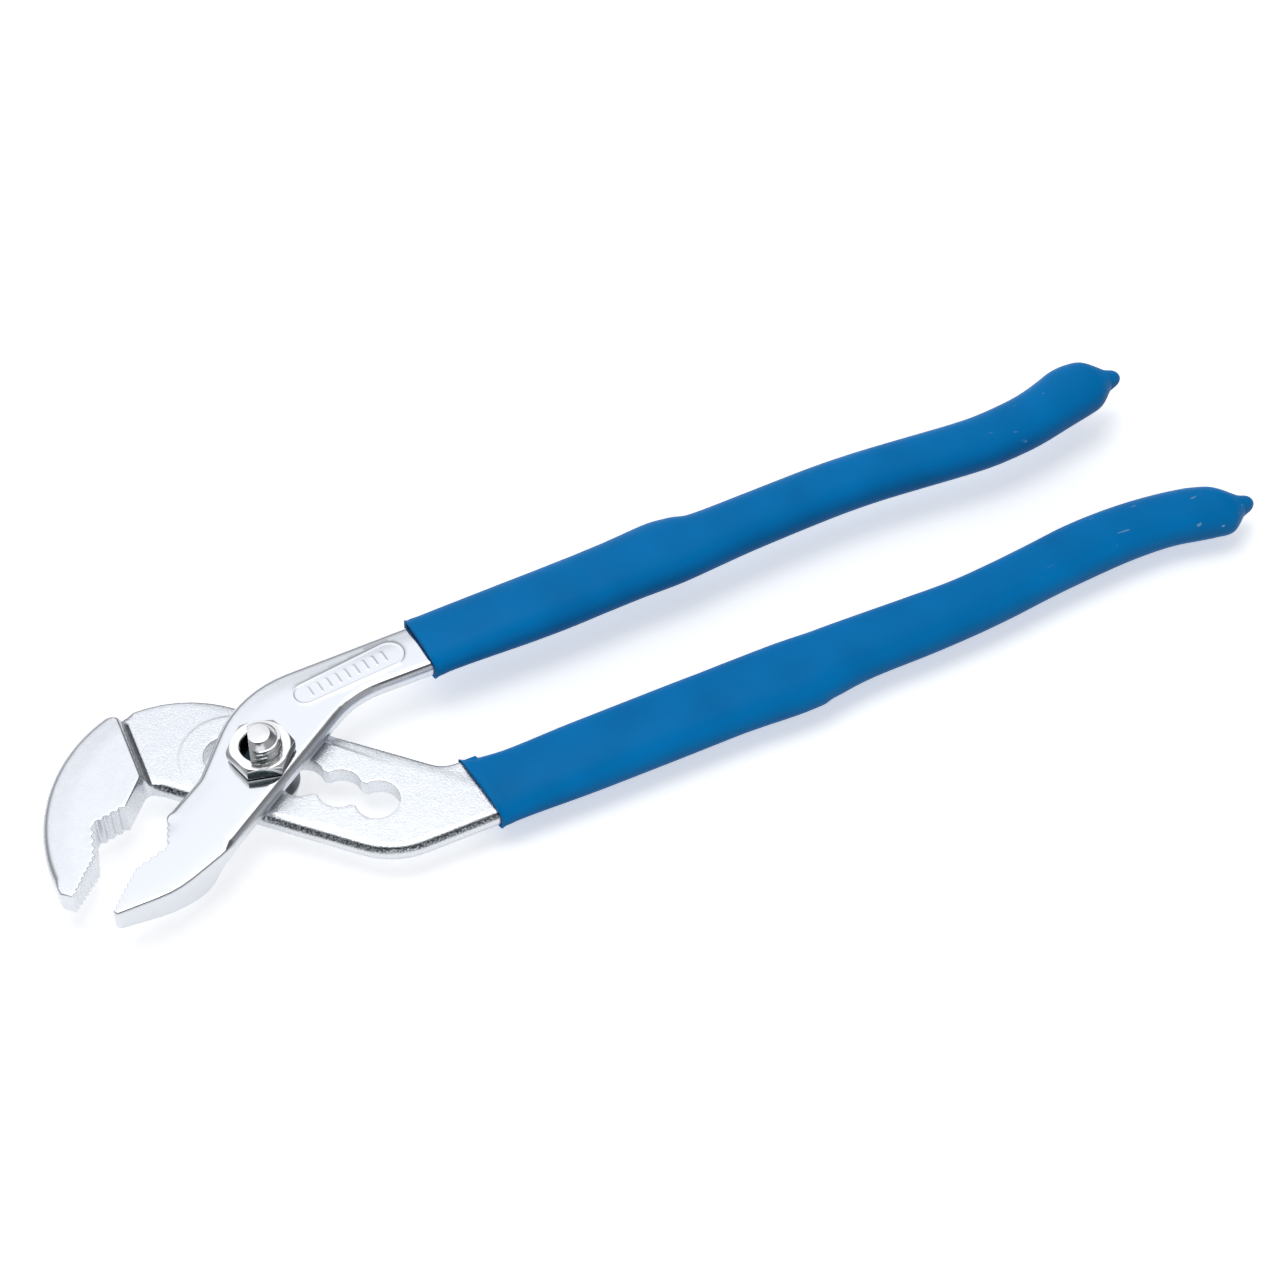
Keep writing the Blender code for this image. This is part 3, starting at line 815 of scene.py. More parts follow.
FORGED_CHROME = BlastedChrome("shot_blasted_chrome", "#D9DCE1", 0.28)
BRIGHT_CHROME = PolishedChrome("polished_chrome", "#DADDE2", 0.13)
NUT_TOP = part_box("pivot_nut")[1].z / MM
# The nut's bore and the bolt's thread inside the nut get painted shade.
NICKEL_NUT = PlatedSteel("nickel_plated_nut", "#E4E5E4", 0.12, dark_inside=4.9, dark_below=NUT_TOP - 0.8)
ZINC_BOLT = PlatedSteel("zinc_plated_bolt", "#DADBDC", 0.17, dark_inside=5.2, dark_below=NUT_TOP - 0.5)
ZINC_WASHER = PlatedSteel("zinc_plated_washer", "#BFC2C5", 0.32, feed=0.3)
BLUE_DIP = DippedVinyl("blue_vinyl_dip", "#007EC6", 0.42, 0.0, 0.06)


def dress(obj: bpy.types.Object, finish: Finish, node: str, body: Body) -> bpy.types.Object:
    """Gives a piece its finish and ties it to the part that it stands for.

    Args:
        obj: The piece.
        finish: Its finish.
        node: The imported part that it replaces.
        body: The body that it rides on.

    Returns:
        The piece.
    """
    obj.data.materials.append(finish.material())
    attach(obj, body.value)
    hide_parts(node)
    LOG.info("%s: %d faces, %s", obj.name, len(obj.data.polygons), finish.name)
    return obj


# ---------------------------------------------------------------- the two halves


@dataclass
class Levels:
    """Heights of the halves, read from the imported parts."""

    rear_low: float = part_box("rear_half")[0].z / MM
    jaw_top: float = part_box("rear_half")[1].z / MM
    gap: float = 0.3

    @property
    def plate(self) -> float:
        """Thickness of each half where they lap."""
        return (self.jaw_top - self.rear_low - self.gap) / 2

    @property
    def plate_top(self) -> float:
        """Top of the slotted plate."""
        return self.rear_low + self.plate

    @property
    def lap(self) -> float:
        """Underside of the front half where it laps the slotted plate."""
        return self.jaw_top - self.plate


@dataclass
class Jaws:
    """Sizes that both jaws share, in slot axes."""

    tip: float = -50.4
    knee: float = -38.6
    hollow: float = -30.9
    heel: float = -24.2
    hollow_depth: float = 4.1
    outer_face: float = -24.2
    inner_face: float = -14.29
    tooth: float = 0.62
    tip_tooth: float = 0.42
    tooth_rim: float = 0.14
    tip_teeth: int = 8
    knee_teeth: int = 4
    heel_teeth: int = 4
    taper_from: float = -36.0
    tip_thickness: float = 6.8

    def thinning(self, xy: np.ndarray, thickness: float) -> np.ndarray:
        """How far the underside rises towards the jaws' tips.

        Args:
            xy: Points as rows.
            thickness: The jaws' full thickness.

        Returns:
            One depth for each point.
        """
        across = slot_axes(xy)[1]
        slope = (thickness - self.tip_thickness) / (self.taper_from - self.tip)
        return slope * np.maximum(self.taper_from - across, 0)


@dataclass
class Tang:
    """The flat end of a half inside its grip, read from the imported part."""

    node: str
    mouth: float

    def corners(self) -> list:
        """The tang's outline from its lower edge at the mouth to its upper edge there.

        Returns:
            Points (x, y).
        """
        points = np.array([v.co[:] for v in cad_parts[self.node].data.vertices]) / MM
        points = points[points[:, 0] > self.mouth + 7.0]
        stations = np.linspace(points[:, 0].min(), points[:, 0].max() - 4.5, 22)
        lower, upper = [], []
        for x in stations:
            near = points[np.abs(points[:, 0] - x) < 8.5]
            above = near[:, 1] >= (near[:, 1].max() + near[:, 1].min()) / 2
            for side, found in ((near[~above], lower), (near[above], upper)):
                side = side[np.argsort(side[:, 0])]
                found.append((x, float(np.interp(x, side[:, 0], side[:, 1]))))
        middle = (lower[-1][1] + upper[-1][1]) / 2
        half = (upper[-1][1] - lower[-1][1]) / 2
        nose = arc((stations[-1], middle), (4.0, half), -75, 75, 8)
        return lower + nose + upper[::-1]


@dataclass
class RearHalf:
    """The lower half: outer jaw, slotted plate and the tang of the lower handle.

    The names that end in _rim are the radii of the rounded edges along each part of the outline.
    """

    levels: Levels
    jaws: Jaws
    bolt_radius: float = 5.3
    flats: float = 3.4
    lobe_pitch: float = 9.56
    lobes_before: int = 1
    lobes_after: int = 3
    band: float = 13.8
    heel_proud: float = 0.6
    back_centre: tuple = (-18.0, -12.0)
    back_radii: tuple = (37.4, 40.4)
    mouth: float = 44.0
    mouth_edges: tuple = (-37.0, -18.3)
    step_lean: float = math.radians(87.0)
    step_distance: float = 26.4
    step_bend: float = 2.4
    step_foot: float = 0.9
    step_head: float = -1.7
    pad_radius: float = 11.6
    pad_start: float = -9.0
    pad_end: float = 40.0
    pad_height: float = 0.12
    heel_rim: float = 0.7
    plate_rim: float = 2.1
    tang_rim: float = 0.8
    upper_rim: float = 0.9
    back_rim: float = 1.7
    tip_rim: float = 0.5
    slot_rim: float = 0.12

    def step_offset(self, xy: np.ndarray) -> np.ndarray:
        """Distance from the jaw's step line, which bends away at the round back.

        Args:
            xy: Points as rows.

        Returns:
            One distance for each point, positive over the plate.
        """
        bend = self.step_bend * (1 - smooth(self.back_distance(xy) / 3.2)) ** 2
        across = (xy[:, 0] + self.step_distance) * math.sin(self.step_lean)
        return across - xy[:, 1] * math.cos(self.step_lean) + bend

    def pad_offset(self, xy: np.ndarray) -> np.ndarray:
        """Distance outside the machined pad that the front half slides on.

        Args:
            xy: Points as rows.

        Returns:
            One distance for each point.
        """
        along, across = slot_axes(xy)
        end = np.clip(along, self.pad_start, self.pad_end)
        width = self.pad_radius - 0.06 * np.maximum(along - 8, 0)
        return np.hypot(along - end, across) - width

    def top(self, xy: np.ndarray) -> np.ndarray:
        """Height of the upper face.

        Args:
            xy: Points as rows.

        Returns:
            One height for each point.
        """
        share = np.clip((self.step_foot - self.step_offset(xy)) / (self.step_foot - self.step_head), 0, 1)
        climb = share - 0.8 * np.sin(2 * math.pi * share) / (2 * math.pi)
        fade = 1 - smooth((slot_axes(xy)[0] - 14) / 18)
        plate = self.levels.plate_top - self.pad_height * fade * smooth(self.pad_offset(xy) / 0.7 + 0.5)
        jaw = self.levels.jaw_top - 0.55 * (1 - smooth(self.back_distance(xy) / 7.0))
        edge = 0.12 * (1 - smooth(np.maximum(self.band - np.abs(slot_axes(xy)[1]), 0) / 3.0))
        return plate * (1 - climb) + jaw * climb - edge * (1 - climb)

    def underside(self, xy: np.ndarray) -> np.ndarray:
        """Height of the lower face.

        Args:
            xy: Points as rows.

        Returns:
            One height for each point.
        """
        return self.levels.rear_low + self.jaws.thinning(xy, self.levels.jaw_top - self.levels.rear_low)

    def back_distance(self, xy: np.ndarray) -> np.ndarray:
        """Distance inside the jaw's round back.

        Args:
            xy: Points as rows.

        Returns:
            One distance for each point.
        """
        unit = (xy - np.array(self.back_centre)) / np.array(self.back_radii)
        reach = np.linalg.norm(unit, axis=1)
        return np.maximum(1 - reach, 0) * min(self.back_radii)

    def outline(self) -> Contour:
        """The contour, counter-clockwise from the jaw's tip.

        Returns:
            The contour with its rim radii.
        """
        j = self.jaws
        tip = slot_point(j.outer_face, j.tip)
        knee = slot_point(j.outer_face, j.knee)
        hollow = slot_point(j.outer_face - j.hollow_depth, j.hollow)
        heel = slot_point(j.outer_face + self.heel_proud, j.heel)
        throat = slot_point(j.outer_face + self.heel_proud, -self.band)
        low, high = self.mouth_edges
        edge = self.band * math.sqrt(2)
        top = self.back_centre[1] + self.back_radii[1]
        tang = Tang("rear_half", self.mouth).corners()
        below = rounded([
            (*heel, 0), (*throat, 1.6), (-edge - low, low, 20.0), (self.mouth, low, 0), (*tang[0], 0),
        ])[1:-1]
        above = rounded([
            (*tang[-1], 0), (self.mouth, high, 0), (edge - high, high, 15.0), (edge - top, top, 36.0),
            (2 * self.back_centre[0], top, 0),
        ])[1:-1]
        back = arc(self.back_centre, self.back_radii, 98, 186, 40)
        contour = Contour()
        contour.run(toothed(tip, knee, j.tip_teeth, j.tip_tooth)[:-1], j.tooth_rim)
        contour.run(toothed(knee, hollow, j.knee_teeth, j.tooth)[:-1], j.tooth_rim)
        contour.run(toothed(hollow, heel, j.heel_teeth, j.tooth), j.tooth_rim)
        contour.run(below[:8], self.heel_rim).run(below[8:], self.plate_rim)
        contour.run(tang, self.tang_rim).run(above, self.upper_rim)
        return contour.run(back[:-2], self.back_rim).run(back[-2:], self.tip_rim)

    def slot(self) -> Contour:
        """The wavy slot, clockwise, with its sharp necks broken.

        Returns:
            The contour with its rim radii.
        """
        opening = math.degrees(math.asin(self.flats / self.bolt_radius))
        last = self.lobes_after
        upper, lower = [], []
        for lobe in range(-self.lobes_before, last + 1):
            start = opening if lobe < last else 0.0
            end = 180 - opening if lobe > -self.lobes_before else 180.0
            for along, across in arc((lobe * self.lobe_pitch, 0), (self.bolt_radius,) * 2, end, start, 18):
                upper.append(slot_point(along, across))
                lower.append(slot_point(along, -across))
        return Contour().run(upper[:-1] + lower[::-1][:-1], self.slot_rim)

    def build(self) -> bpy.types.Object:
        """Builds and dresses the half.

        Returns:
            The piece.
        """
        forging = Forging(
            "slotted_half_forging", self.outline(), [self.slot()], self.top, self.underside, self.mouth + 6,
            zones=[
                (lambda xy: np.abs(self.step_offset(xy) + 0.4) < 1.9, 0.28),
                (lambda xy: (np.abs(self.pad_offset(xy)) < 0.7) & (self.step_offset(xy) > 1.5), 0.32),
            ],
        )
        return dress(forging.build(), FORGED_CHROME, "rear_half", Body.SLOTTED_HALF)


@dataclass
class LabelField:
    """A raised stadium on the shank, filled with a plain row of short ribs."""

    left: tuple = (15.8, 11.9)
    right: tuple = (37.9, 14.3)
    left_radius: float = 3.0
    right_radius: float = 3.7
    line_half_width: float = 0.28
    height: float = 0.1
    ribs: int = 9
    rib_reach: float = 1.8
    rib_half_width: float = 0.34

    def axes(self, xy: np.ndarray) -> tuple[np.ndarray, np.ndarray, float]:
        """Places along and across the stadium's axis.

        Args:
            xy: Points as rows.

        Returns:
            Share along the axis, distance across it, and the axis length.
        """
        start = np.array(self.left)
        run = np.array(self.right) - start
        length = float(np.linalg.norm(run))
        arm = xy - start
        return arm @ run / length ** 2, (arm[:, 1] * run[0] - arm[:, 0] * run[1]) / length, length

    def outside(self, xy: np.ndarray) -> np.ndarray:
        """Distance outside the stadium's line.

        Args:
            xy: Points as rows.

        Returns:
            One distance for each point.
        """
        share, across, length = self.axes(xy)
        held = np.clip(share, 0, 1)
        radius = self.left_radius + (self.right_radius - self.left_radius) * held
        return np.hypot((share - held) * length, across) - radius

    def relief(self, xy: np.ndarray) -> np.ndarray:
        """Height of the stadium's line and of the ribs inside it.

        Args:
            xy: Points as rows.

        Returns:
            One height for each point.
        """
        share, across, length = self.axes(xy)
        line = np.exp(-(self.outside(xy) / self.line_half_width) ** 2)
        step = share * self.ribs - 0.5
        nearest = np.clip(np.round(step), 0, self.ribs - 1)
        along = (step - nearest) * length / self.ribs
        rib = np.exp(-(along / self.rib_half_width) ** 2) * smooth((self.rib_reach - np.abs(across)) / 0.5)
        return self.height * np.maximum(line, 0.8 * rib)

    def lines(self) -> list:
        """Rows of points that follow the stadium's line.

        Returns:
            Arrays of points.
        """
        (x1, y1), (x2, y2) = self.left, self.right
        lean = math.degrees(math.atan2(y2 - y1, x2 - x1))
        found = []
        for offset in (-0.5, -0.25, 0.0, 0.25, 0.5):
            a, b = self.left_radius + offset, self.right_radius + offset
            loop = arc((x1, y1), (a, a), lean + 90, lean + 270, 36)
            loop += arc((x2, y2), (b, b), lean - 90, lean + 90, 42)
            loop = np.array(loop + loop[:1])
            pieces = []
            for start, end in zip(loop, loop[1:]):
                count = max(1, math.ceil(np.linalg.norm(end - start) / 0.3))
                pieces += [start + (end - start) * k / count for k in range(count)]
            found.append(np.array(pieces))
        return found


@dataclass
class FrontHalf:
    """The upper half: inner jaw, shank with the bolt's hole, and the tang of the upper handle.

    The names that end in _rim are the radii of the rounded edges along each part of the outline.
    """

    levels: Levels
    jaws: Jaws
    label: LabelField = field(default_factory=LabelField)
    tip_extra: float = 0.4
    heel_back: float = 1.1
    jaw_corners: tuple = ((-45.6, -27.3, 1.2), (-31.0, -27.3, 26.0), (-16.9, -21.9, 20.0))
    crotch: tuple = (26.3, 22.0)
    shoulder: tuple = (1.6, 28.0)
    neck_corners: tuple = ((-15.4, 0.6, 9.0), (-25.9, -6.0, 3.0))
    mouth: float = 46.3
    mouth_edges: tuple = (6.3, 21.1)
    bolt_radius: float = 5.3
    flats: float = 3.4
    step_radius: float = 27.6
    blend_end: float = 34.0
    far_crown: float = 0.75
    far_reach: float = 8.0
    near_crown: float = 0.12
    near_reach: float = 5.0
    jaw_rim: float = 0.7
    near_rim: float = 1.8
    tang_rim: float = 0.8
    far_rim: float = 1.6
    hole_rim: float = 0.2
    edges: list = field(default_factory=list)

    def outline(self) -> Contour:
        """The contour, counter-clockwise from the jaw's heel.

        Returns:
            The contour with its rim radii.
        """
        j = self.jaws
        tip = slot_point(j.inner_face, j.tip - self.tip_extra)
        knee = slot_point(j.inner_face, j.knee)
        hollow = slot_point(j.inner_face + j.hollow_depth, j.hollow)
        heel = slot_point(j.inner_face + self.heel_back, j.heel)
        low, high = self.mouth_edges
        tang = Tang("front_half", self.mouth).corners()
        below = rounded([
            (*tip, 0), *self.jaw_corners, (self.crotch[0], low, self.crotch[1]), (self.mouth, low, 0),
            (*tang[0], 0),
        ])[1:-1]
        above = rounded([
            (*tang[-1], 0), (self.mouth, high, 0), (self.shoulder[0], high - 0.6, self.shoulder[1]),
            *self.neck_corners, (*heel, 0),
        ])[1:-1]
        contour = Contour()
        contour.run(toothed(heel, hollow, j.heel_teeth, j.tooth)[:-1], j.tooth_rim)
        contour.run(toothed(hollow, knee, j.knee_teeth, j.tooth)[:-1], j.tooth_rim)
        contour.run(toothed(knee, tip, j.tip_teeth, j.tip_tooth), j.tooth_rim)
        on_jaw = sum(point[0] < self.jaw_corners[-1][0] for point in below)
        contour.run(below[:on_jaw], self.jaw_rim).run(below[on_jaw:], self.near_rim)
        contour.run(tang, self.tang_rim).run(above, self.far_rim)
        self.edges = [(side[:-1], side[1:]) for side in (np.array(above), np.array(below))]
        return contour

    def hole(self) -> Contour:
        """The keyed hole for the bolt's shank, clockwise.

        Returns:
            The contour with its rim radii.
        """
        opening = math.degrees(math.asin(self.flats / self.bolt_radius))
        points = []
        for start in (-opening, 180 - opening):
            circle = arc((0, 0), (self.bolt_radius,) * 2, start, start + 2 * opening, 14)
            points += [slot_point(x, y) for x, y in circle]
        return Contour().run(points[::-1], self.hole_rim)

    def top(self, xy: np.ndarray) -> np.ndarray:
        """Height of the upper face, slightly crowned, with the label field on it.

        Args:
            xy: Points as rows.

        Returns:
            One height for each point.
        """
        far, near = [distance_to(xy, starts, ends) for starts, ends in self.edges]
        fall = self.far_crown * (1 - smooth(far / self.far_reach)) ** 1.3
        fall += self.near_crown * (1 - smooth(near / self.near_reach)) ** 1.3
        return self.levels.jaw_top - self.label.height - fall + self.label.relief(xy)

    def underside(self, xy: np.ndarray) -> np.ndarray:
        """Height of the lower face: the lap, then a soft blend down to the jaw's full thickness.

        Args:
            xy: Points as rows.

        Returns:
            One height for each point.
        """
        reach = np.linalg.norm(xy, axis=1)
        deep = smooth((reach - self.step_radius) / (self.blend_end - self.step_radius)) * (xy[:, 0] < 10)
        low = self.levels.rear_low + self.jaws.thinning(xy, self.levels.jaw_top - self.levels.rear_low)
        return self.levels.lap * (1 - deep) + low * deep

    def build(self) -> bpy.types.Object:
        """Builds and dresses the half.

        Returns:
            The piece.
        """
        outline = self.outline()
        forging = Forging(
            "lapped_half_forging", outline, [self.hole()], self.top, self.underside, self.mouth + 6,
            zones=[
                (lambda xy: self.label.outside(xy) < -0.5, 0.28),
                (lambda xy: (np.abs(np.linalg.norm(xy, axis=1) - 30.8) < 3.6) & (xy[:, 0] < 10), 0.5),
            ],
            lines=self.label.lines(),
        )
        return dress(forging.build(), BRIGHT_CHROME, "front_half", Body.LAPPED_HALF)


# ---------------------------------------------------------------- pivot hardware


def disc(radius: float | np.ndarray, z: float | np.ndarray, columns: int) -> np.ndarray:
    """A ring of points round the bolt's axis.

    Args:
        radius: Its radius, or one for each column.
        z: Its height, or one for each column.
        columns: The number of points.

    Returns:
        The points as rows.
    """
    angles = np.linspace(0, 2 * math.pi, columns, endpoint=False)
    return np.column_stack([radius * np.cos(angles), radius * np.sin(angles), np.broadcast_to(z, columns)])


def cut(ring: np.ndarray, direction: float, distance: float) -> np.ndarray:
    """Cuts a flat on a ring.

    Args:
        ring: The ring's points as rows.
        direction: The angle that the flat faces.
        distance: From the axis to the flat.

    Returns:
        The same ring with its flat.
    """
    normal = np.array((math.cos(direction), math.sin(direction)))
    ring[:, :2] -= np.maximum(ring[:, :2] @ normal - distance, 0)[:, None] * normal
    return ring


def turned(name: str, rings: list, sharp: float) -> bpy.types.Object:
    """Makes a piece from rings of equally many points.

    Args:
        name: The piece's name.
        rings: The rings, each as rows of points.
        sharp: Edges that turn by more than this many degrees stay sharp.

    Returns:
        The new object.
    """
    return mesh_object(name, np.concatenate(rings), skin(len(rings), len(rings[0])), sharp)


@dataclass
class Bolt:
    """Round-headed bolt with two flats on its shank, and one on its threaded end."""

    head_radius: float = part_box("pivot_bolt")[1].x / MM
    head_thickness: float = 3.2
    radius: float = 5.0
    shank_flat: float = 3.1
    thread_from: float = 14.6
    pitch: float = 1.5
    thread_depth: float = 0.75
    thread_step: float = 0.12
    end_flat: float = 2.5
    end_flat_direction: float = math.radians(163.0)
    end_disc: float = 2.75
    end_chamfer: float = 1.5
    centre_mark: float = 2.6
    centre_depth: float = 0.22
    columns: int = 180

    def end(self, radius: float | np.ndarray, z: float) -> np.ndarray:
        """One ring of the threaded end, with its flat."""
        return cut(disc(radius, z, self.columns), self.end_flat_direction, self.end_flat)

    def thread(self, z: float) -> np.ndarray:
        """One ring of the thread.

        Args:
            z: Its height.

        Returns:
            The ring's points as rows.
        """
        phase = (z / self.pitch - np.linspace(0, 1, self.columns, endpoint=False)) % 1.0
        groove = np.clip(1.15 - np.abs(phase - 0.5) * 2.6, 0, 1)
        return self.end(self.radius - self.thread_depth * groove, z)

    def shank(self, z: float) -> np.ndarray:
        """One ring of the shank, with its two flats."""
        first = cut(disc(self.radius, z, self.columns), SLOT_DIRECTION + math.pi / 2, self.shank_flat)
        return cut(first, SLOT_DIRECTION - math.pi / 2, self.shank_flat)

    def build(self) -> bpy.types.Object:
        """Builds and dresses the bolt.

        Returns:
            The piece.
        """
        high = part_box("pivot_bolt")[1].z / MM
        shoulder = high - self.end_chamfer
        rings = [self.end(0.01, high), self.end(self.end_disc - 0.12, high)]
        for share in (0.0, 0.04, 0.12, 0.3, 0.5, 0.7, 0.88, 0.96, 1.0):
            reach = self.end_disc + (self.radius - self.thread_depth - self.end_disc) * share
            rings.append(self.end(reach, high - 0.02 - self.end_chamfer * share ** 1.15))
        steps = round((shoulder - self.thread_from) / self.thread_step)
        rings += [self.thread(z) for z in np.linspace(shoulder - 0.05, self.thread_from, steps)]
        rings += [self.shank(self.thread_from - 0.05), self.shank(self.head_thickness)]
        edge, top = self.head_radius, self.head_thickness
        rings += [disc(r, z, self.columns) for r, z in (
            (edge - 0.5, top), (edge - 0.15, top - 0.15), (edge, top - 0.5), (edge, 1.1), (edge - 0.12, 0.7),
            (edge - 0.8, 0.12), (edge - 1.3, 0.0), (self.centre_mark, 0.0),
            (self.centre_mark - 0.4, self.centre_depth - 0.04), (0.01, self.centre_depth),
        )]
        bolt = turned("pivot_bolt_turned", rings, 40.0)
        return dress(bolt, ZINC_BOLT, "pivot_bolt", Body.LAPPED_HALF)


@dataclass
class Nut:
    """Thin hexagon nut with its upper corners chamfered."""

    across_flats: float = 14.0
    turn: float = math.radians(46.0)
    chamfer_start: float = 7.1
    chamfer_slope: float = math.tan(math.radians(27.0))
    bore: float = 4.7
    columns: int = 180

    def ring(self, share: float, z: float, chamfered: bool) -> np.ndarray:
        """One ring between the bore and the hexagon.

        Args:
            share: 0 at the bore, 1 at the hexagon.
            z: Its height, before any chamfer.
            chamfered: Whether the corner chamfer lowers it.

        Returns:
            The ring's points as rows.
        """
        angles = np.linspace(0, 2 * math.pi, self.columns, endpoint=False)
        local = (angles - self.turn) % math.radians(60) - math.radians(30)
        reach = self.bore * (1 - share) + self.across_flats / 2 / np.cos(local) * share
        drop = np.maximum(reach - self.chamfer_start, 0) * self.chamfer_slope * chamfered
        return disc(reach, z - drop, self.columns)

    def build(self) -> bpy.types.Object:
        """Builds and dresses the nut.

        Returns:
            The piece.
        """
        low, high = [corner.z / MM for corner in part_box("pivot_nut")]
        bore = ((0.0, low), (0.0, high - 0.35), (0.1, high - 0.02))
        rings = [self.ring(share, z, False) for share, z in bore]
        rings += [self.ring(share, high, True) for share in np.linspace(0.14, 0.97, 18)]
        rings += [self.ring(0.99, high - 0.04, True), self.ring(1.0, high - 0.16, True)]
        rings += [self.ring(share, z, False) for share, z in ((1.0, low + 0.15), (0.985, low), (0.0, low))]
        nut = turned("pivot_nut_hexagon", rings, 30.0)
        return dress(nut, NICKEL_NUT, "pivot_nut", Body.LAPPED_HALF)


@dataclass
class Washer:
    """Stamped washer: one side has rounded edges, the other a crisp one."""

    radius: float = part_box("back_washer")[1].x / MM
    bore: float = 5.3
    columns: int = 128

    def build(self) -> bpy.types.Object:
        """Builds and dresses the washer.

        Returns:
            The piece.
        """
        low, high = [corner.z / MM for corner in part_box("back_washer")]
        bore, edge = self.bore, self.radius
        rings = [disc(r, z, self.columns) for r, z in (
            (bore, low + 0.15), (bore, high - 0.1), (bore + 0.1, high), (edge - 0.1, high),
            (edge, high - 0.1), (edge, low + 0.4), (edge - 0.1, low + 0.16), (edge - 0.4, low),
            (bore + 0.3, low), (bore, low + 0.15),
        )]
        washer = turned("back_washer_stamped", rings, 40.0)
        return dress(washer, ZINC_WASHER, "back_washer", Body.SLOT_SLIDER)


# ---------------------------------------------------------------- grips


@dataclass
class Grip:
    """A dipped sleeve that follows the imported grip, with a rolled lip, a run-off step and a drip."""

    name: str
    node: str
    body: Body
    tang_edges: tuple
    outward: int
    run_off: float
    slant: float = 1.0
    run_off_height: float = 0.55
    bead: float = 0.12
    power: float = 2.2
    tang_power: float = 9.0
    columns: int = 72
    lip: float = 0.9
    nib: float = 3.6
    nib_radius: float = 2.0
    tang_half_thickness: float = 2.34
    tang_play: float = 0.04

    def stations(self, end: float) -> np.ndarray:
        """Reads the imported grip's rings.

        Args:
            end: Where the drip starts.

        Returns:
            Rows of x, middle y, half width and half height.
        """
        points = np.array([v.co[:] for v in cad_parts[self.node].data.vertices]) / MM
        keys = np.round(points[:, 0], 2)
        rows = []
        for x in np.unique(keys):
            ring = points[keys == x]
            if x < end + 0.05 and len(np.unique(np.round(ring[:, 1:], 2), axis=0)) >= 20:
                low, high = ring.min(0), ring.max(0)
                rows.append((x, (low[1] + high[1]) / 2, (high[1] - low[1]) / 2, (high[2] - low[2]) / 2))
        return np.array(rows)

    def followed(self, rows: np.ndarray, places: np.ndarray) -> np.ndarray:
        """Smooth curves through the stations.

        Args:
            rows: The stations.
            places: The x of each wanted ring.

        Returns:
            Rows of middle y, half width and half height.
        """
        x, sizes = rows[:, 0], rows[:, 1:]
        slopes = np.gradient(sizes, x, axis=0)
        k = np.clip(np.searchsorted(x, places) - 1, 0, len(x) - 2)
        run = (x[k + 1] - x[k])[:, None]
        t = (places - x[k])[:, None] / run
        return (
            sizes[k] * (2 * t ** 3 - 3 * t ** 2 + 1) + slopes[k] * run * (t ** 3 - 2 * t ** 2 + t)
            + sizes[k + 1] * (3 * t ** 2 - 2 * t ** 3) + slopes[k + 1] * run * (t ** 3 - t ** 2)
        )

    def section(self, x: float, y: float, width: float, height: float, power: float) -> np.ndarray:
        """One ring across the handle.

        Args:
            x: Its place along the handle.
            y: Its middle.
            width: Its half width.
            height: Its half height.
            power: 2 for an ellipse, more for a squarer ring.

        Returns:
            The ring's points as rows.
        """
        unit = disc(1.0, 0.0, self.columns)[:, :2]
        across, up = (np.sign(unit) * np.abs(unit) ** (2 / power) * (width, height)).T
        z = sum(corner.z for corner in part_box(self.node)) / 2 / MM
        return np.column_stack([np.full(self.columns, x), y + across, z + up])

    def build(self) -> bpy.types.Object:
        """Builds and dresses the grip.

        Returns:
            The piece.
        """
        mouth, end = [corner.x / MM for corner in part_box(self.node)]
        body_end = end - self.nib
        rows = self.stations(body_end)
        low, high = self.tang_edges
        tang = np.array(((low + high) / 2, (high - low) / 2 + self.tang_play, self.tang_half_thickness))
        rings = [self.section(mouth + 4.0, *tang, self.tang_power)]
        for angle in np.linspace(0, math.pi, 11):
            share = (1 - math.cos(angle)) / 2
            rings.append(self.section(
                mouth + self.lip * (1 - math.sin(angle)), *(tang * (1 - share) + rows[0, 1:] * share),
                self.tang_power * (1 - share) + self.power * share,
            ))
        places = np.concatenate([
            np.linspace(mouth + self.lip + 0.4, body_end - 14, 200),
            np.linspace(body_end - 13.7, body_end, 60),
        ])
        for x, (y, width, height) in zip(places, self.followed(rows, places)):
            bead = self.bead * math.exp(-((x - mouth - 1.8) / 1.1) ** 2) - 0.1
            rise, fall = smooth((x - self.run_off + 22) / 18), smooth((x - self.run_off) / 3.5)
            ridge = self.run_off_height * rise * (1 - fall)
            rings.append(self.section(
                x, y + self.outward * ridge / 2, width + ridge / 2 + bead, height + bead, self.power,
            ))
        for share in np.sin(np.linspace(0.04, 1.0, 18) * math.pi / 2):
            narrow = 1 - max(1 - share, 0.0) ** 2.2
            dome = max(1 - max((share - 0.35) / 0.65, 0.0) ** 2.2, 0.0004) ** 0.5
            width, height = (rows[-1, 2:] * (1 - narrow) + self.nib_radius * narrow) * dome
            rings.append(self.section(body_end + self.nib * share, rows[-1, 1], width, height, 2.2))
        points = np.concatenate(rings)
        across = np.clip((points[:, 1] - low) / (high - low), 0, 1)
        points[:, 0] -= self.slant * across * (1 - smooth((points[:, 0] - mouth - 2) / 22))
        faces = [face[::-1] for face in skin(len(rings), self.columns)]
        faces.append(tuple(range(len(points) - self.columns, len(points))))
        grip = mesh_object(self.name, points, faces, 60.0)
        return dress(grip, BLUE_DIP, self.node, self.body)


# ---------------------------------------------------------------- the studio


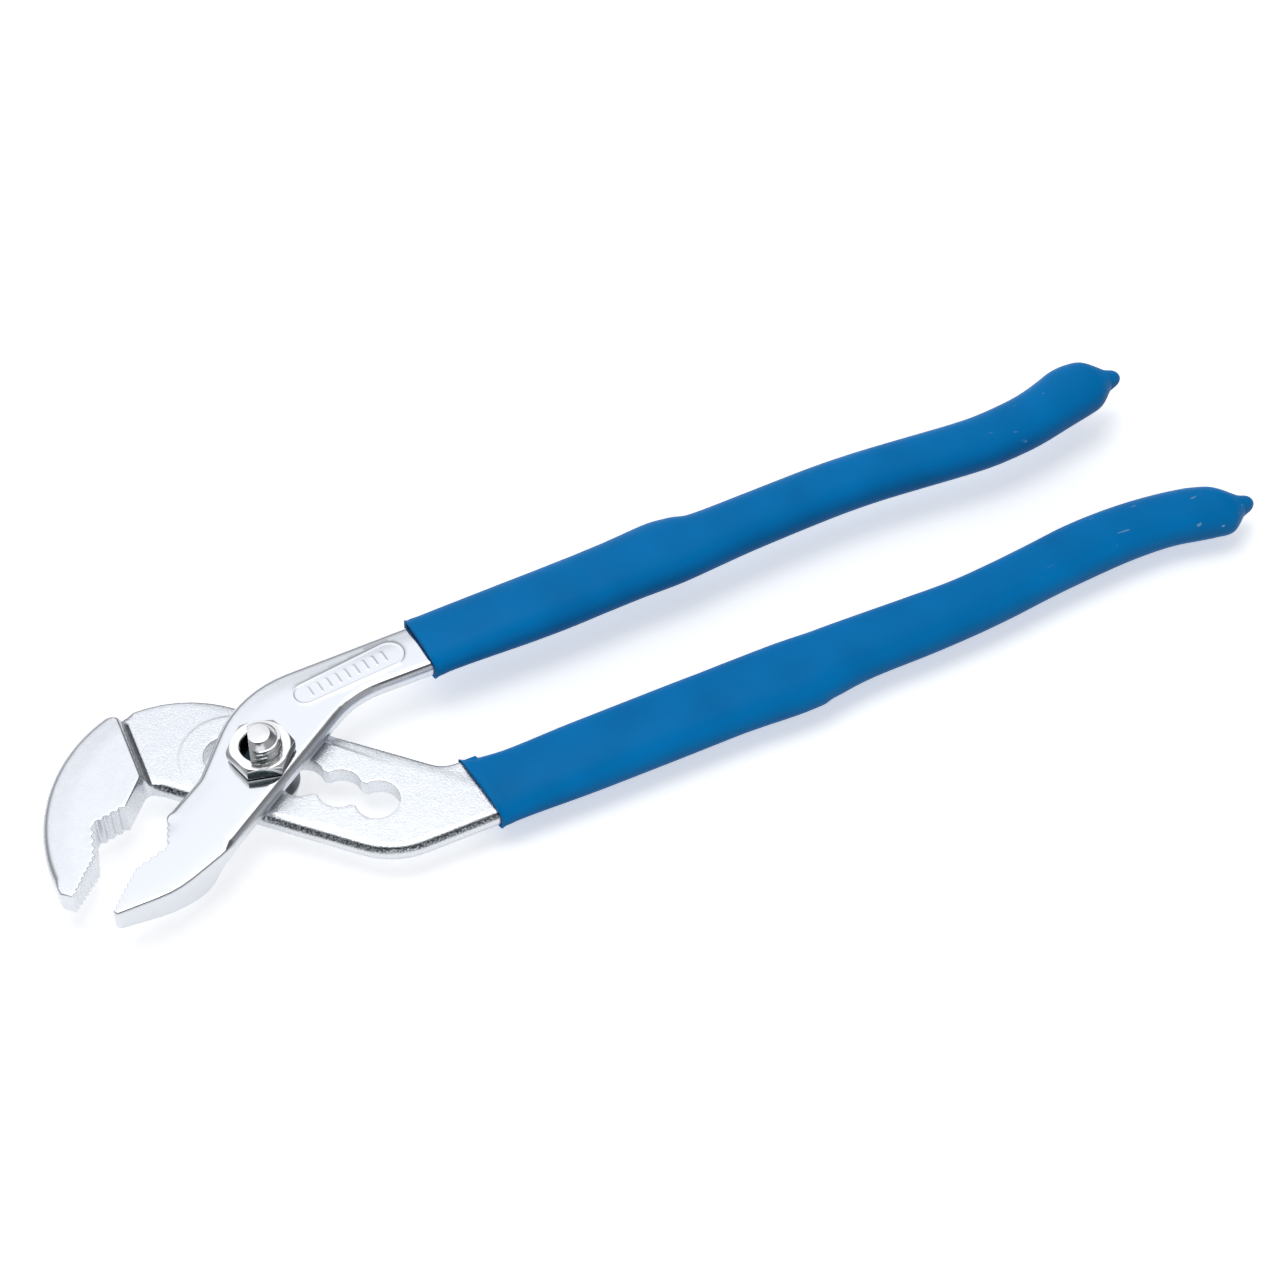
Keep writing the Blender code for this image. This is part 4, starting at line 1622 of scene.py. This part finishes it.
@dataclass(frozen=True)
class SkyPatch:
    """A soft round patch of sky, between two cosines of the angle from its middle."""

    direction: tuple
    start: float
    end: float
    around: float
    middle: float

    def value(self, add: Callable, place: bpy.types.NodeSocket) -> bpy.types.NodeSocket:
        """Adds the patch to the sky.

        Args:
            add: Adds a node to the sky.
            place: The direction that is looked in.

        Returns:
            The patch's value in that direction.
        """
        middle = Vector(self.direction).normalized()
        near = add("VectorMath", {"operation": "DOT_PRODUCT", 1: middle}, {0: place}, "Value")
        return add("MapRange", {
            "interpolation_type": "SMOOTHSTEP", "From Min": self.start, "From Max": self.end,
            "To Min": self.around, "To Max": self.middle,
        }, {"Value": near})


@dataclass
class Studio:
    """A pale table, a soft light from behind and above, and the camera."""

    aim: tuple = (93.7, -8.0)
    azimuth: float = math.radians(-25.76)
    elevation: float = math.radians(52.0)
    distance: float = 775.0
    lens: float = 91.4
    window: SkyPatch = SkyPatch((-0.02, 0.54, 0.84), 0.8, 0.985, 0.44, 1.32)
    dim_side: SkyPatch = SkyPatch((0.8, 0.25, 0.5), 0.72, 0.95, 1.0, 0.3)
    dark_ceiling: SkyPatch = SkyPatch((-0.19, -0.40, 0.90), 0.86, 0.94, 0.0, 1.0)
    front_fill: SkyPatch = SkyPatch((-0.25, -0.85, 0.46), 0.88, 0.96, 0.0, 0.8)
    sky: str = "#FBFCFF"
    ceiling: str = "#34484C"
    lamp_power: float = 2.2
    lamp_size: tuple = (0.7, 0.5)
    lamp_offset: tuple = (-0.05, 0.12, 0.95)
    table_glow: float = 0.47
    table_half: float = 3000.0
    table_z: float = -0.05

    def towards_camera(self) -> Vector:
        """Direction from the object to the camera.

        Returns:
            A vector of length one.
        """
        flat = math.cos(self.elevation)
        across, depth = math.sin(self.azimuth) * flat, -math.cos(self.azimuth) * flat
        return Vector((across, depth, math.sin(self.elevation)))

    def place(self, name: str, data: bpy.types.ID, where: Vector, direction: Vector) -> bpy.types.Object:
        """Stands a lamp or a camera in the scene.

        Args:
            name: Its name.
            data: The lamp's or the camera's data.
            where: Its place.
            direction: The direction that it looks in.

        Returns:
            The new object.
        """
        obj = bpy.data.objects.new(name, data)
        bpy.context.scene.collection.objects.link(obj)
        obj.location = where
        obj.rotation_mode = "QUATERNION"
        obj.rotation_quaternion = direction.to_track_quat("-Z", "Y")
        return obj

    def floor(self) -> None:
        """Lays a matte pale table just under the bolt's head."""
        corners = [(x * self.table_half, y * self.table_half, self.table_z)
                   for x, y in ((-1, -1), (1, -1), (1, 1), (-1, 1))]
        floor = mesh_object("table", np.array(corners), [(0, 1, 2, 3)], 30.0)
        material = bpy.data.materials.new("matte_white_paper")
        material.use_nodes = True
        shader = material.node_tree.nodes["Principled BSDF"]
        for name, value in {
            "Base Color": linear("#FFFFFF"), "Roughness": 0.9, "Specular IOR Level": 0.0,
            "Emission Color": linear("#FFFFFF"), "Emission Strength": self.table_glow,
        }.items():
            shader.inputs[name].default_value = value
        floor.data.materials.append(material)

    def light(self) -> None:
        """Sets a soft bright sky with a darker patch of ceiling, and an overhead softbox."""
        world = bpy.data.worlds.new("studio")
        bpy.context.scene.world = world
        world.use_nodes = True
        world.node_tree.nodes.clear()
        add = partial(add_node, world.node_tree)
        place = add("TexCoord", output="Generated")
        patches = (self.window, self.dim_side, self.dark_ceiling, self.front_fill)
        bright, side, dark, front = [patch.value(add, place) for patch in patches]
        lit = add("Math", {"operation": "MULTIPLY_ADD"}, {0: bright, 1: side, 2: front})
        colour = add("Mix", {"data_type": "RGBA", 6: linear(self.sky), 7: linear(self.ceiling)}, {0: dark}, 2)
        add("OutputWorld", links={"Surface": add("Background", links={"Color": colour, "Strength": lit})})
        key = bpy.data.lights.new("overhead_softbox", "AREA")
        key.shape = "RECTANGLE"
        key.size, key.size_y = self.lamp_size
        key.energy = self.lamp_power
        offset = Vector(self.lamp_offset)
        self.place("overhead_softbox", key, Vector((*self.aim, 0)) * MM + offset, -offset)
        bpy.context.scene.view_settings.view_transform = "Standard"

    def camera(self) -> None:
        """Places the camera."""
        data = bpy.data.cameras.new("camera")
        data.lens, data.sensor_width = self.lens, 36.0
        data.clip_start, data.clip_end = 0.01, 20.0
        target = Vector((*self.aim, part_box("front_half")[1].z / MM))
        where = (target + self.towards_camera() * self.distance) * MM
        bpy.context.scene.camera = self.place("camera", data, where, -self.towards_camera())

    def build(self) -> None:
        """Sets up the table, the light and the camera."""
        self.floor()
        self.light()
        self.camera()
        LOG.info("studio: table, light and camera")


def main() -> None:
    """Builds every piece in order."""
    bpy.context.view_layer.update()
    levels, jaws = Levels(), Jaws()
    rear = RearHalf(levels, jaws)
    front = FrontHalf(levels, jaws)
    rear.build()
    front.build()
    Washer().build()
    Bolt().build()
    Nut().build()
    Grip("lower_grip_dip", "rear_grip", Body.SLOTTED_HALF, rear.mouth_edges, -1, 127.5, 2.2).build()
    Grip("upper_grip_dip", "front_grip", Body.LAPPED_HALF, front.mouth_edges, 1, 117.0).build()
    Studio().build()


if __name__ == "__main__":
    main()
